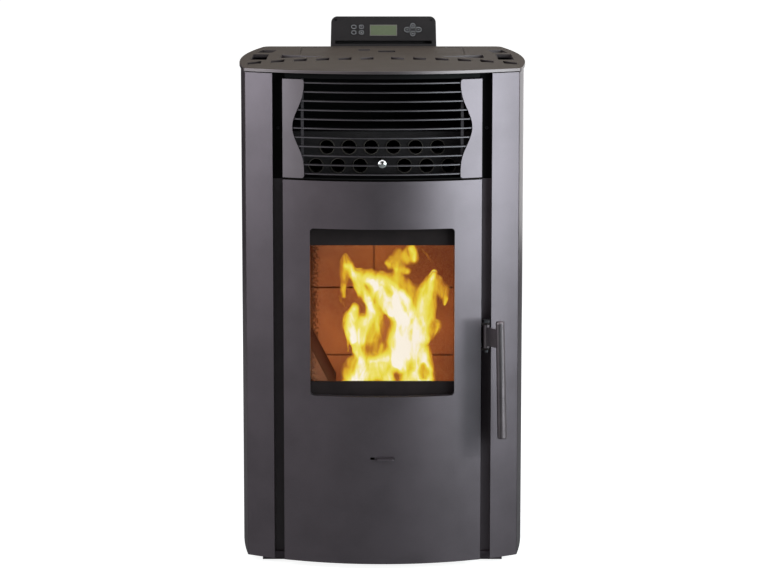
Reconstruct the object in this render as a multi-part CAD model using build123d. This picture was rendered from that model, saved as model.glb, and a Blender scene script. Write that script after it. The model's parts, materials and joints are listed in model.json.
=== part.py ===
from build123d import *
import math
import os

os.makedirs("parts", exist_ok=True)

# A free-standing pellet stove. Millimetres, +Z up, the viewer stands in front at -Y.
# Everything is drawn about the plane of the two front corners (y = 0 there, +y to the rear), and
# save() moves it back by ORIGIN_Y, so the origin lies on the floor under the middle of the whole.

# ---------------------------------------------------------------- plan of the body
BODY_HALF_FRONT = 247.0      # half width at the front corners
BODY_HALF_WIDEST = 262.0     # half width where the sides bulge most
BODY_HALF_BACK = 229.0       # half width at the rear corners
WIDEST_SHARE = 0.43          # where along the depth the sides bulge most
DOOR_BULGE = 70.0            # how far the middle of the front stands before its corners
BODY_DEPTH = 478.0           # front corners to the outside of the rear panel
FRONT_FOLD = 3.0             # fold radius at the front corners
BACK_FOLD = 14.0             # fold radius at the rear corners
PLATE_OVERHANG = 2.5         # how far the top plate stands over the panels
FIREBOX_SHARE = 0.4226       # part of the depth that lies before the firebox back
KNOB_PROUD = 9.0             # how far the scraper knob stands before the front arc
TONGUE_PROUD = 12.0          # how far the air slider's tongue stands before the door
STUB_PROUD = 45.0            # how far the pipe stubs stand behind the rear panel

# ---------------------------------------------------------------- heights
PANEL_BOTTOM = 12.0          # side panels and door above the floor
BASE_FLOOR = 20.5            # top of the base pan's floor sheet
DOOR_HEIGHT = 700.0
DOOR_GAP = 4.0               # between the door and the grille
GRILLE_HEIGHT = 177.0
GRILLE_HEAD = 9.0            # dark strip above the grille cheeks
PLATE_GAP = 2.0              # shadow gap between the panels and the top plate
PLATE_THICKNESS = 6.0
PLATE_EDGE = 1.6

# ---------------------------------------------------------------- sheets and clearances
SHEET = 1.5
SEAT_GAP = 0.3               # between pieces that are seated but not one piece
RUN_GAP = 0.05               # radial, a pin in its bore
SLIDE_GAP = 0.5              # a piece that slides past another
DOOR_HALF = 178.5            # half width of the door and of the grille
CHANNEL_WIDTH = 18.5         # dark channel between the door and a side panel
DOOR_RETURN_Y = -22.0        # the door skin's side folds end here

DOOR_TOP = PANEL_BOTTOM + DOOR_HEIGHT
GRILLE_BOTTOM = DOOR_TOP + DOOR_GAP
GRILLE_TOP = GRILLE_BOTTOM + GRILLE_HEIGHT
PANEL_TOP = GRILLE_TOP + GRILLE_HEAD
PLATE_BOTTOM = PANEL_TOP + PLATE_GAP
PLATE_TOP = PLATE_BOTTOM + PLATE_THICKNESS
PANEL_INNER = DOOR_HALF + CHANNEL_WIDTH

FRONT_RADIUS = (BODY_HALF_FRONT**2 + DOOR_BULGE**2) / (2 * DOOR_BULGE)
FRONT_CENTRE_Y = FRONT_RADIUS - DOOR_BULGE
FRONT_MOST = -DOOR_BULGE - max(KNOB_PROUD, TONGUE_PROUD)
REAR_MOST = BODY_DEPTH + STUB_PROUD
ORIGIN_Y = -(FRONT_MOST + REAR_MOST) / 2

# ---------------------------------------------------------------- door
WINDOW_HALF = 130.0          # cut-out in the door skin
WINDOW_BOTTOM = 321.0
WINDOW_HEIGHT = 305.0
WINDOW_CORNER = 7.0
WINDOW_LIP = 14.0            # the rolled-in edge of the cut-out
FRAME_FRONT = -31.0          # inner door frame
FRAME_THICKNESS = 12.0
FRAME_BOTTOM = 262.0
FRAME_TOP = 672.0
VIEW_HALF = 139.0            # clear view through the frame
VIEW_BOTTOM = 342.0
VIEW_TOP = 592.0
GLASS_LAP = 8.0              # glass over the edge of the view
GLASS_THICKNESS = 4.0
GASKET_THICKNESS = 1.0
ROPE_RADIUS = 4.0
ROPE_INSET = 12.0            # rope centre inside the frame's edge
ROPE_PROUD = 1.0             # rope centre behind the frame's back face
ROPE_CORNER = 12.0
CLIP_X = 70.0
CLIP_HALF = 9.0
CLIP_LAP = 2.0               # clip's end outside the edge of the view
CLIP_REACH = 26.0
CLIP_SCREW = 19.0
CLIP_HEAD = 2.5
CLIP_HEAD_R = 4.0
HINGE_X = -168.0
HINGE_Y = -25.0
HINGE_PIN_R = 4.0
KNUCKLE_R = 6.5
KNUCKLE_LENGTH = 18.0
EAR_THICKNESS = 4.0

# ---------------------------------------------------------------- handle
HANDLE_PIN_X = 188.0
HANDLE_PIN_Y = -25.0
HANDLE_PIN_R = 4.0
BOLT_HEAD_R = 7.5
BOLT_HEAD = 5.0
BOLT_TAIL = 4.0
HUB_R = 6.5
HUB_BOTTOM = 404.0
HUB_HEIGHT = 42.0
STRAP_HEIGHT = 34.0
STRAP_THICKNESS = 5.0
CLAW_HALF = 2.5
CLAW_RISE = 8.0
CLAW_CLEAR = 4.5             # between the claw and the post
KEEPER_SIDE = 6.5            # keeper's pin beside the handle's bolt
KEEPER_REACH = 6.0           # keeper's pin before the post
KEEPER_PIN_R = 2.4
KEEPER_HALF = 14.0
KEEPER_EAR = 3.0
KEEPER_PLATE_HALF = 22.0
KEEPER_PLATE_WIDTH = 12.4
KEEPER_PLATE = 1.2
ROD_X = 214.0                # middle of the rod
ROD_Y = -60.0
ROD_TOP = 459.0
ROD_LENGTH = 216.0
ROD_TOP_R = 7.8
ROD_FOOT_R = 8.7
ROD_TOP_EDGE = 5.0
ROD_FOOT_EDGE = 2.5
ROD_LEAN = 5.0               # the foot stands this much further out than the top
ROD_GROOVES = (362.0, 338.0, 318.0, 296.0, 263.0)
GROOVE_DEPTH = 0.4
GROOVE_WIDTH = 1.6

# ---------------------------------------------------------------- air slider
SLOT_HALF = 21.5
SLOT_Z = 208.0
TONGUE_THICKNESS = 3.0
TONGUE_HALF = 15.0
TONGUE_X = 6.0               # tongue's middle at rest
SLIDER_TRAVEL = 12.0

# ---------------------------------------------------------------- grille
SLAT_COUNT = 11
SLAT_FIRST = 7.8             # lowest slat above the grille's foot
SLAT_PITCH = 16.3
SLAT_DEPTH = 12.0
SLAT_THICKNESS = 2.0
SLAT_INSET = 2.5
SLAT_HALF = 165.0
UPRIGHT_X = 143.0
UPRIGHT_WIDTH = 5.0
CHEEK_END_WIDTH = 38.6
CHEEK_WAIST_WIDTH = 17.6
CHEEK_CORNER = 5.0
POST_FACE = -4.0             # face of the dark posts at the bottom of the channels
POST_WIDTH = 37.0
POST_DEPTH = 34.0
POST_TOP = 710.0             # seam between a post and the grille housing
HOUSING_INSET = 4.0
HOUSING_HALF = DOOR_HALF - HOUSING_INSET
FLOOR_LIFT = 0.5
HOUSING_BEYOND = 13.0         # the warm air recess reaches this far behind the firebox
LIP_INSET = 12.5
GRILLE_FLOOR = GRILLE_BOTTOM + FLOOR_LIFT

# ---------------------------------------------------------------- heat exchanger
TUBE_R = 14.0
TUBE_WALL = 1.5
TUBE_PITCH = 40.0
TUBE_LOW_Z = 731.0
TUBE_ROW_RISE = 34.0
TUBE_FRONT = 14.0
TUBE_CLEAR = 11.0            # between the tubes and the back of the recess
EXCHANGER_TOP = 793.0
SCRAPER_ROD_R = 3.0
SCRAPER_Z = 744.6
SCRAPER_TRAVEL = 60.0
SCRAPER_SETBACK = 40.0       # scraper plate before the tubes' rear ends
SCRAPER_PLATE = 3.0
SCRAPER_EDGE = 6.0
SCRAPER_FOOT = 3.5
KNOB_BACK = -DOOR_BULGE + SLAT_INSET - SLIDE_GAP
KNOB_SOCKET = 6.0
KNOB_R = 8.3
KNOB_EDGE = 4.0

# ---------------------------------------------------------------- firebox
FIREBOX_FACE = -12.0
FIREBOX_PLATE = 4.0
FIREBOX_HALF = 160.0
FIREBOX_BOTTOM = 206.0
FIREBOX_TOP = 700.0
FIREBOX_BACK = BODY_DEPTH * FIREBOX_SHARE
MOUTH_HALF = 140.0
MOUTH_BOTTOM = 300.0
MOUTH_TOP = 625.0
LEG_SETBACK = 92.0           # legs before the firebox back
LEG_Y = FIREBOX_BACK - LEG_SETBACK
LEG_WIDTH = 40.0
HEARTH_Z = 294.0
POT_SETBACK = 107.0          # middle of the burn pot before the firebox back
POT_Y = FIREBOX_BACK - POT_SETBACK
POT_R = 46.0
POT_HEIGHT = 62.0
POT_WALL = 4.0
POT_RIM = 6.0
POT_RINGS = ((12.0, 6), (26.0, 12))      # radius and number of the air holes in its floor
POT_HOLE_R = 3.0
POT_CLEAR_Z = HEARTH_Z - POT_HEIGHT + 4.0    # rim of the ash drawer, below the pot
IGNITER_R = 5.0
IGNITER_Z = 254.0
IGNITER_LAP = 3.0            # its tip stands this far in the pot's wall
IGNITER_TAIL = 18.0
IGNITER_COLLAR = 14.0
IGNITER_COLLAR_R = 9.0
FLUE_PORT_Z = 255.0          # where the gases leave the firebox, clear above the blower's housing
BRICK = 22.0
BRICK_TOP = 690.0
BRICK_JOINT = 3.5
JOINT_DEPTH = 6.0
COURSES = (352.0, 481.0, 610.0)
CROSS_JOINTS = ((-16.0, 1), (60.0, 0), (-90.0, 2), (60.0, 2))    # x, and the course it stands on
WEDGE_REACH = 47.0
WEDGE_LIP = 22.0
WEDGE_RISE = 112.0
DRAWER_HALF = 125.0
DRAWER_BOTTOM = FIREBOX_BOTTOM + FIREBOX_PLATE + SEAT_GAP
DRAWER_HEIGHT = 72.0
DRAWER_DEPTH = 180.0
GRIP_HALF = 30.0
GRIP_REACH = 14.0
GRIP_DROP = 2.5

HOUSING_DEPTH = FIREBOX_BACK + HOUSING_BEYOND
TUBE_LENGTH = HOUSING_DEPTH - TUBE_CLEAR - TUBE_FRONT

# ---------------------------------------------------------------- hopper and feed
LID_HALF = 156.0
LID_DEPTH = 138.0
LID_SETBACK = 34.0           # lid's rear edge before the rear panel
LID_BACK = BODY_DEPTH - LID_SETBACK
LID_FRONT = LID_BACK - LID_DEPTH
LID_THICKNESS = 3.0
LID_SEAM = 1.0
LID_HINGE_R = 1.5
LID_KNUCKLE_R = 2.6
HOPPER_HALF = 165.0
HOPPER_CLEAR = 38.0          # between the firebox and the hopper
HOPPER_SETBACK = 22.0        # between the hopper and the rear panel
HOPPER_FRONT = FIREBOX_BACK + HOPPER_CLEAR
HOPPER_BACK = BODY_DEPTH - HOPPER_SETBACK
HOPPER_KNEE = 690.0
HOPPER_FOOT = 520.0
OUTLET_HALF = 28.0
OUTLET_SETBACK = 52.0        # middle of the outlet before the auger tube's rear end
SEAL_THICKNESS = 2.5
SEAL_WIDTH = 8.0
MOUTH_RIM = 6.0              # ledge on which the lid lies
AUGER_R = 24.0
AUGER_TUBE_R = 27.5
AUGER_TUBE_WALL = 2.0
AUGER_DROP = 30.0            # auger's axis below the hopper's foot
AUGER_Z = HOPPER_FOOT - AUGER_DROP
AUGER_CLEAR = 34.0           # between the firebox and the auger tube
AUGER_FRONT = FIREBOX_BACK + AUGER_CLEAR
MOTOR_SPACE = 54.0           # between the auger tube and the rear panel
AUGER_BACK = BODY_DEPTH - MOTOR_SPACE
OUTLET_Y = AUGER_BACK - OUTLET_SETBACK
AUGER_PITCH = 44.0
FLIGHT_THICKNESS = 3.0
FLIGHT_STEPS = 14            # straight steps in one turn of the flight
FLIGHT_ROOT = 1.0            # how deep the flight is let into the shaft
AUGER_END_GAP = 6.0          # between the flight and the ends of its tube
COLLAR_RISE = 8.0
GEAR_HALF = 30.0
GEAR_HEAD = 8.0
GEAR_LENGTH = 30.0
GEAR_BORE = 8.0
MOTOR_R = 22.0
MOTOR_LENGTH = 18.0
MOTOR_RISE = 6.0
AUGER_SHAFT_R = 8.0
CHUTE_HALF = 26.0
CHUTE_DROP = 60.0            # foot of the drop chute below the auger's axis
CHUTE_HEIGHT = 48.0
CHUTE_Z = AUGER_Z - CHUTE_DROP
CHUTE_DEPTH = 40.0

# ---------------------------------------------------------------- fans, pipes, control panel
FLUE_R = 40.0
FLUE_X = 105.0
FLUE_Z = 150.0
INLET_R = 25.0
SPIGOT_SEAT = 3.0            # a pushed-on pipe stops this far behind the rear panel
SPIGOT_STEP = 1.0            # the pipe inside the body is this much thicker in radius
PIPE_CLEAR = 3.0             # round a pipe in the rear panel
INLET_X = -60.0
INLET_Z = 250.0
FAN_X = -95.0
FAN_Z = 110.0
FAN_R = 60.0
SOCKET_X = -165.0
SOCKET_Z = 60.0
CONTROL_X = 2.3              # the panel stands this much to the right of the middle
CONTROL_HALF = 104.0
CONTROL_TAPER = 1.5
CONTROL_GAP = 4.0            # foot of the control face behind the rear panel
CONTROL_FRONT = BODY_DEPTH + CONTROL_GAP
CONTROL_TOP = 968.0
CONTROL_FOOT = 905.0
CONTROL_DEPTH = 26.0
CONTROL_CORNER = 12.0
CONTROL_LEAN = 8.0           # degrees, the face leans back
BRACKET_INSET = 20.0
BRACKET_DROP = 50.0
BRACKET_NECK = 4.0
FACE_THICKNESS = 2.5
BUTTON_TRAVEL = 0.6
DISPLAY_HALF = 27.0
DISPLAY_HEIGHT = 22.0
SCREW_HEAD_R = 2.6
SCREW_SHANK_R = 1.5
SCREW_HEAD = 1.2
CHANNEL_SCREW_Z = 802.0
CHANNEL_SCREW_R = 3.2
CHANNEL_SCREW_HEAD = 2.0
REAR_SCREW_R = 4.2
REAR_SCREW_HEAD = 2.4
REAR_SCREW_INSET = 12.0
REAR_SCREW_RISE = 18.0
REAR_SCREW_DROP = 30.0

# ---------------------------------------------------------------- base, feet and rear panel
SKIRT_HALF = 220.0
SKIRT_FRONT = -12.3
SKIRT_SETBACK = 38.0
SKIRT_BACK = BODY_DEPTH - SKIRT_SETBACK
SKIRT_BOTTOM = 3.0
FOOT_X = 185.0
FOOT_FRONT_Y = 40.0
FOOT_SETBACK = 78.0
FOOT_BACK_Y = BODY_DEPTH - FOOT_SETBACK
FOOT_R = 17.0
FOOT_STEM_R = 5.0
FOOT_PAD = 6.0
FOOT_GAP = 0.2
FOOT_BEVEL = 1.5
FOOT_STEM_TOP = 12.0
FOOT_NUT = 5.0
FOOT_NUT_R = 9.0
VENT_LENGTH = 62.0
VENT_WIDTH = 5.0
VENT_PITCH = 13.0
VENT_ROWS = 9
VENT_X = (-95.0, -15.0)
VENT_FIRST_Z = 56.0
SOCKET_HALF = 13.0
SOCKET_HEIGHT = 20.0
SOCKET_DEPTH = 26.0
SOCKET_WELL = 15.0
SOCKET_FLANGE = 3.0
SOCKET_EAR = 6.0
SOCKET_WALL = 2.0
CONTACTS = ((-7.0, -2.0), (7.0, -2.0), (0.0, 3.0))    # x and z from the middle of the socket
CONTACT_THICKNESS = 2.0
CONTACT_WIDTH = 4.0

# ---------------------------------------------------------------- slots and hinge of the top plate
SLOT_ROW_R = 331.0           # the front ends of the short slots follow this radius
SLOT_ROW_Y = 172.0           # y of the row's rearmost point
SLOT_COUNT = 12
SLOT_STEP = 41.1
SLOT_WIDTH = 24.0
SLOT_FIRST_X = 16.5
SLOT_INNER_LENGTH = 55.0     # the end towards the middle is the longer one
SLOT_OUTER_LENGTH = 39.0
SIDE_SLOTS = ((-229.5, BODY_DEPTH - 250.0, 29.0, 122.0, 0.0),
              (-221.0, BODY_DEPTH - 121.0, 28.0, 62.0, -8.0))
SLIT = ((-190.0, 204.0), (-190.0, 276.0), (-112.0, 240.0), (-112.0, 236.0))
FINGER_SLOT = (8.5, LID_FRONT + 50.0, 33.0, 38.0)
LID_TAB = (-35.0, LID_FRONT + 68.0, 22.0, 3.0, 3.0)
LID_HINGE_X = 112.0
LID_KNUCKLE_LENGTH = 22.0
LID_LUG = 3.0
LID_LUG_HALF = 2.2
LID_LUG_RISE = 1.4
LID_AXIS_Y = LID_BACK + LID_KNUCKLE_R
LID_AXIS_Z = PLATE_TOP - LID_THICKNESS / 2

# ---------------------------------------------------------------- blowers
BLOWER_DEPTH = 60.0
BLOWER_R = 70.0
BLOWER_SETBACK = 148.0        # front of the exhaust blower before the rear panel
BLOWER_FRONT = BODY_DEPTH - BLOWER_SETBACK
BLOWER_WALL = 2.0
ELBOW_R = 32.0
ELBOW_END = 42.0             # the elbow reaches this far behind the blower's front
ELBOW_FLANGE = 8.0
ELBOW_FLANGE_DEPTH = 4.0
DROP_BEHIND = 24.0           # middle of the elbow's drop behind the blower's front
DROP_R = 26.0
DROP_LAP = 12.0              # the drop enters the housing by this much
FAN_MOTOR_R = 32.0
FAN_MOTOR_LENGTH = 50.0
EXHAUST_SHAFT = 34.0
HUB_RADIUS = 6.0
HUB_WALL = 4.0
DISC_THICKNESS = 2.0
BLADE_THICKNESS = 1.6
BLADE_SET = 25.0             # degrees, blades lean back from the radius
EXHAUST_WHEEL_R = 58.0
EXHAUST_WHEEL_DEPTH = 26.0
EXHAUST_EYE_R = 16.0
EXHAUST_BLADES = 8
WHEEL_CLEAR = 6.0            # between a wheel and the wall before it
CONVECTION_SETBACK = 298.0    # front of the room air blower before the rear panel
CONVECTION_FRONT = BODY_DEPTH - CONVECTION_SETBACK
CONVECTION_DEPTH = 90.0
CONVECTION_BLADES = 16
CONVECTION_EYE = 14.0        # the inlet is this much smaller in radius than the wheel
BLADE_REACH = 16.0
SCROLL_GROWTH = 14.0
SCROLL_MOUTH = 12.0
DUCT_INNER = 4.0
STAND_HALF = 40.0
WHEEL_LIFT = 4.0
SHAFT_SHORT = 24.0
WHEEL_SHORT = 30.0

# ---------------------------------------------------------------- keys and cut-outs of the control panel
DISPLAY_Y = 36.5             # middle of the display above the foot of the face
KEY_COLUMNS = (-58.2, -43.4)
KEY_ROWS = (43.0, 32.0)
KEY_HALF = 5.3
KEY_RISE = 4.2
PAD_X = 57.7
PAD_Y = 37.5
PAD_REACH = 17.5
PAD_RISE = 13.0
PETAL_LENGTH = 13.0
PETAL_WIDTH = 10.5
PETAL_SHORT = 11.0
KEY_PROUD = 0.8
KEY_RIM = 0.6
KEY_RIM_THICKNESS = 1.0
KEY_GAP = 0.25
SCREW_X = 94.0
SCREW_Y = 57.0
LEDGE_HALF = 95.0            # dark slot along the foot of the face
LEDGE_LOW = 9.5
LEDGE_HEIGHT = 6.5

# ---------------------------------------------------------------- door hinge
KNUCKLE_Z = (FRAME_BOTTOM - KNUCKLE_LENGTH - 4, FRAME_TOP + 4)
HINGE_EAR_Z = (KNUCKLE_Z[0] - SEAT_GAP - EAR_THICKNESS, KNUCKLE_Z[1] + KNUCKLE_LENGTH + SEAT_GAP)


# ================================================================ helpers
def block(x0, x1, y0, y1, z0, z1):
    centre = Pos((x0 + x1) / 2, (y0 + y1) / 2, (z0 + z1) / 2)
    return centre * Box(x1 - x0, y1 - y0, z1 - z0)


def rod_z(x, y, z0, z1, radius):
    return Pos(x, y, (z0 + z1) / 2) * Cylinder(radius, z1 - z0)


def rod_y(x, z, y0, y1, radius):
    return Pos(x, (y0 + y1) / 2, z) * Rot(90, 0, 0) * Cylinder(radius, y1 - y0)


def rod_x(y, z, x0, x1, radius):
    return Pos((x0 + x1) / 2, y, z) * Rot(0, 90, 0) * Cylinder(radius, x1 - x0)


def rounded_bar(foot_r, head_r, length, foot_edge, head_edge):
    """Round bar along z from the origin; each rim is rounded off in short straight steps."""
    steps = 4
    profile = [(0, 0)]
    for i in range(steps + 1):
        angle = math.pi / 2 * i / steps
        profile.append((foot_r - foot_edge * (1 - math.sin(angle)), foot_edge * (1 - math.cos(angle))))
    for i in range(steps + 1):
        angle = math.pi / 2 * i / steps
        profile.append((head_r - head_edge * (1 - math.cos(angle)),
                        length - head_edge * (1 - math.sin(angle))))
    profile.append((0, length))
    return revolve(Plane.XZ * make_face(Polyline(*profile, close=True)), Axis.Z)


def group(shapes):
    return Compound([solid for shape in shapes for solid in shape.solids()])


def mirrored(shape):
    return mirror(shape, about=Plane.YZ)


def save(name, shape):
    export_step(Pos(0, ORIGIN_Y, 0) * shape, f"parts/{name}.step")


def front_y(x, inset=0.0):
    """y of the front arc, moved in by inset."""
    return FRONT_CENTRE_Y - math.sqrt((FRONT_RADIUS - inset)**2 - x**2)


def front_band(x0, x1, inset, thickness, z0, z1):
    """A curved sheet that follows the front arc from x0 to x1."""
    middle = (x0 + x1) / 2
    back = inset + thickness
    outer = ThreePointArc((x0, front_y(x0, inset)), (middle, front_y(middle, inset)),
                          (x1, front_y(x1, inset)))
    inner = ThreePointArc((x1, front_y(x1, back)), (middle, front_y(middle, back)), (x0, front_y(x0, back)))
    face = make_face([outer, Line(outer @ 1, inner @ 0), inner, Line(inner @ 1, outer @ 0)])
    return Pos(0, 0, z0) * extrude(face, z1 - z0, dir=(0, 0, 1))


def side_arc(side):
    widest_y = BODY_DEPTH * WIDEST_SHARE
    front = (side * BODY_HALF_FRONT, 0)
    widest = (side * BODY_HALF_WIDEST, widest_y)
    back = (side * BODY_HALF_BACK, BODY_DEPTH)
    return ThreePointArc(front, widest, back)


def plan_face(grow=0.0):
    """The body's barrel-shaped plan, grown or shrunk all round."""
    front = ThreePointArc((-BODY_HALF_FRONT, 0), (0, -DOOR_BULGE), (BODY_HALF_FRONT, 0))
    right = side_arc(1)
    left = side_arc(-1)
    face = make_face([front, right, Line(right @ 1, left @ 1), left])
    corners = face.vertices().sort_by(Axis.Y)
    face = fillet(corners[:2], FRONT_FOLD)
    corners = [v for v in face.vertices() if v.Y > BODY_DEPTH - 1]
    face = fillet(corners, BACK_FOLD)
    if grow:
        face = offset(face, amount=grow)
    return face


def plan_solid(grow, z0, z1):
    return Pos(0, 0, z0) * extrude(plan_face(grow), z1 - z0, dir=(0, 0, 1))


def upright_face(points):
    """A closed outline in x and z, as a face that can be pushed along y."""
    return Plane.XZ * make_face(Polyline(*points, close=True))


# ================================================================ cabinet
def side_panel():
    skin = plan_solid(0, PANEL_BOTTOM, PANEL_TOP) - plan_solid(-SHEET, PANEL_BOTTOM, PANEL_TOP)
    skin &= block(-400, -PANEL_INNER, -100, BODY_DEPTH + 10, 0, PLATE_TOP)
    fold_front = front_y(PANEL_INNER, SHEET / 2)
    fold = block(-PANEL_INNER - SHEET, -PANEL_INNER, fold_front, POST_FACE - SEAT_GAP, PANEL_BOTTOM,
                 PANEL_TOP)
    return skin + fold


def channel_post():
    inner = -DOOR_HALF + SHEET
    outer = inner - POST_WIDTH
    top = POST_TOP
    face = block(outer, inner, POST_FACE, POST_FACE + SHEET, BASE_FLOOR, top)
    web = block(outer, outer + SHEET, POST_FACE, POST_FACE + POST_DEPTH, BASE_FLOOR, top)
    return face + web


FOOT_PLACES = [(x, y) for x in (-FOOT_X, FOOT_X) for y in (FOOT_FRONT_Y, FOOT_BACK_Y)]


def base_pan():
    """Floor sheet between the panels with a folded skirt below it."""
    z0 = BASE_FLOOR - SHEET
    back = BODY_DEPTH - SHEET - SEAT_GAP
    floor = plan_solid(-SHEET - SEAT_GAP, z0, BASE_FLOOR) & block(-400, 400, SKIRT_FRONT, back, z0,
                                                                  BASE_FLOOR)
    corner_x = PANEL_INNER - SLIDE_GAP
    corner = block(corner_x, 2 * corner_x, SKIRT_FRONT - 1, 0, z0 - 1, BASE_FLOOR + 1)
    floor -= [corner, mirrored(corner)]
    skirt = block(-SKIRT_HALF, SKIRT_HALF, 0, SKIRT_BACK, SKIRT_BOTTOM, z0)
    skirt -= block(-SKIRT_HALF + SHEET, SKIRT_HALF - SHEET, SHEET, SKIRT_BACK - SHEET, 0, z0)
    holes = [rod_z(x, y, z0 - 5, BASE_FLOOR + 5, FOOT_STEM_R + FOOT_GAP) for x, y in FOOT_PLACES]
    return floor + skirt - holes


def levelling_feet():
    feet = []
    for x, y in FOOT_PLACES:
        foot = rod_z(x, y, 0, FOOT_PAD, FOOT_R)
        foot = chamfer(foot.edges().group_by(Axis.Z)[-1], FOOT_BEVEL)
        foot += rod_z(x, y, FOOT_PAD, BASE_FLOOR + FOOT_STEM_TOP, FOOT_STEM_R)
        nut = extrude(RegularPolygon(FOOT_NUT_R, 6), FOOT_NUT)
        foot += Pos(x, y, BASE_FLOOR - SHEET - FOOT_NUT - SEAT_GAP) * nut
        feet.append(foot)
    return group(feet)


def rear_panel():
    y0 = BODY_DEPTH - SHEET
    half = PANEL_INNER - SEAT_GAP
    panel = block(-half, half, y0, BODY_DEPTH, PANEL_BOTTOM, PANEL_TOP)
    panel -= rod_y(FLUE_X, FLUE_Z, y0 - 1, BODY_DEPTH + 1, FLUE_R + PIPE_CLEAR)
    panel -= rod_y(INLET_X, INLET_Z, y0 - 1, BODY_DEPTH + 1, INLET_R + PIPE_CLEAR)
    panel -= block(SOCKET_X - SOCKET_HALF, SOCKET_X + SOCKET_HALF, y0 - 1, BODY_DEPTH + 1,
                   SOCKET_Z, SOCKET_Z + SOCKET_HEIGHT)
    slot = Plane.XZ * SlotOverall(VENT_LENGTH, VENT_WIDTH)
    cutter = extrude(slot, SHEET * 2, both=True)
    cuts = []
    for x in VENT_X:
        for row in range(VENT_ROWS):
            cuts.append(Pos(x, BODY_DEPTH, VENT_FIRST_Z + row * VENT_PITCH) * cutter)
    return panel - cuts


# ================================================================ top
def slot_row_y(x):
    return SLOT_ROW_Y - SLOT_ROW_R + math.sqrt(SLOT_ROW_R**2 - x**2)


def through(points):
    """Upright cutter through the top plate with the given outline."""
    height = PLATE_THICKNESS * 3
    return Pos(0, 0, PLATE_TOP - height / 2) * extrude(make_face(Polyline(*points, close=True)), height,
                                                       dir=(0, 0, 1))


def plate_cuts():
    """Cutters for all slots in the top plate."""
    half = []
    for i in range(SLOT_COUNT // 2):
        x0 = -SLOT_FIRST_X - i * SLOT_STEP
        x1 = x0 - SLOT_WIDTH
        y0 = slot_row_y(x0)
        y1 = slot_row_y(x1)
        half.append(through([(x0, y0), (x0, y0 + SLOT_INNER_LENGTH), (x1, y1 + SLOT_OUTER_LENGTH),
                             (x1, y1)]))
    half.append(through(SLIT))
    for x, y, width, length, turn in SIDE_SLOTS:
        half.append(Pos(x, y, PLATE_TOP) * Rot(0, 0, turn) * Box(width, length, PLATE_THICKNESS * 3))
    return half + [mirrored(cutter) for cutter in half]


def top_plate():
    plate = plan_solid(PLATE_OVERHANG, PLATE_BOTTOM, PLATE_TOP)
    rim = plate.edges().filter_by(Plane.XY).group_by(Axis.Z)[-1]
    plate = fillet(rim, PLATE_EDGE)
    plate -= plate_cuts()
    mouth_edge = LID_HALF - MOUTH_RIM
    plate -= block(-LID_HALF - LID_SEAM, LID_HALF + LID_SEAM, LID_FRONT - LID_SEAM,
                   LID_BACK + LID_KNUCKLE_R * 2 + LID_SEAM, PLATE_TOP - LID_THICKNESS - SEAT_GAP, PLATE_TOP + 1)
    plate -= block(-mouth_edge, mouth_edge, LID_FRONT + MOUTH_RIM, LID_BACK - MOUTH_RIM, PLATE_BOTTOM - 1,
                   PLATE_TOP + 1)
    reach = LID_KNUCKLE_LENGTH / 2 + SEAT_GAP
    depth = LID_KNUCKLE_R + SLIDE_GAP
    for x in (-LID_HINGE_X, LID_HINGE_X):
        plate -= block(x - reach, x + reach, LID_AXIS_Y - depth, LID_AXIS_Y + depth, PLATE_BOTTOM - 1,
                       PLATE_TOP + 1)
    return plate


def hopper_lid():
    lid = block(-LID_HALF, LID_HALF, LID_FRONT, LID_BACK, PLATE_TOP - LID_THICKNESS, PLATE_TOP)
    x, y, width, depth = FINGER_SLOT
    lid -= block(x - width / 2, x + width / 2, y - depth / 2, y + depth / 2, PLATE_BOTTOM, PLATE_TOP + 1)
    x, y, width, depth, height = LID_TAB
    lid += block(x - width / 2, x + width / 2, y - depth / 2, y + depth / 2, PLATE_TOP, PLATE_TOP + height)
    for side in (-1, 1):
        x = side * LID_HINGE_X
        reach = LID_KNUCKLE_LENGTH / 2
        knuckle = rod_x(LID_AXIS_Y, LID_AXIS_Z, x - reach, x + reach, LID_KNUCKLE_R)
        knuckle += block(x - reach, x + reach, LID_BACK - 1, LID_AXIS_Y, LID_AXIS_Z - 1, LID_AXIS_Z + 1)
        lid += knuckle
        lid -= rod_x(LID_AXIS_Y, LID_AXIS_Z, x - reach - 1, x + reach + 1, LID_HINGE_R + RUN_GAP)
    return lid


def lid_hinge():
    """Two pins, each with a lug at both ends that stands in the plate's recess."""
    pins = []
    for side in (-1, 1):
        x = side * LID_HINGE_X
        reach = LID_KNUCKLE_LENGTH / 2 + SEAT_GAP
        lug = LID_LUG
        pin = rod_x(LID_AXIS_Y, LID_AXIS_Z, x - reach - lug, x + reach + lug, LID_HINGE_R)
        for end in (x - reach - lug, x + reach):
            pin += block(end, end + lug, LID_AXIS_Y - LID_LUG_HALF, LID_AXIS_Y + LID_LUG_HALF,
                         PLATE_TOP - LID_THICKNESS - SEAT_GAP, LID_AXIS_Z + LID_LUG_RISE)
        pins.append(pin)
    return group(pins)


def hopper():
    """An open sheet funnel under the top plate's mouth."""
    def shell(inset):
        half = HOPPER_HALF - inset
        y0 = HOPPER_FRONT + inset
        y1 = HOPPER_BACK - inset
        box = block(-half, half, y0, y1, HOPPER_KNEE, PLATE_BOTTOM - SEAL_THICKNESS)
        knee = Pos(0, (y0 + y1) / 2, HOPPER_KNEE) * Rectangle(2 * half, y1 - y0)
        foot_half = OUTLET_HALF - inset
        foot = Pos(0, OUTLET_Y, HOPPER_FOOT) * Rectangle(2 * foot_half, 2 * foot_half)
        return box + loft([foot, knee], ruled=True)
    inner = shell(SHEET)
    inner += block(-OUTLET_HALF + SHEET, OUTLET_HALF - SHEET, OUTLET_Y - OUTLET_HALF + SHEET,
                   OUTLET_Y + OUTLET_HALF - SHEET, HOPPER_FOOT - 1, HOPPER_FOOT + 1)
    return shell(0) - inner


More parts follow.
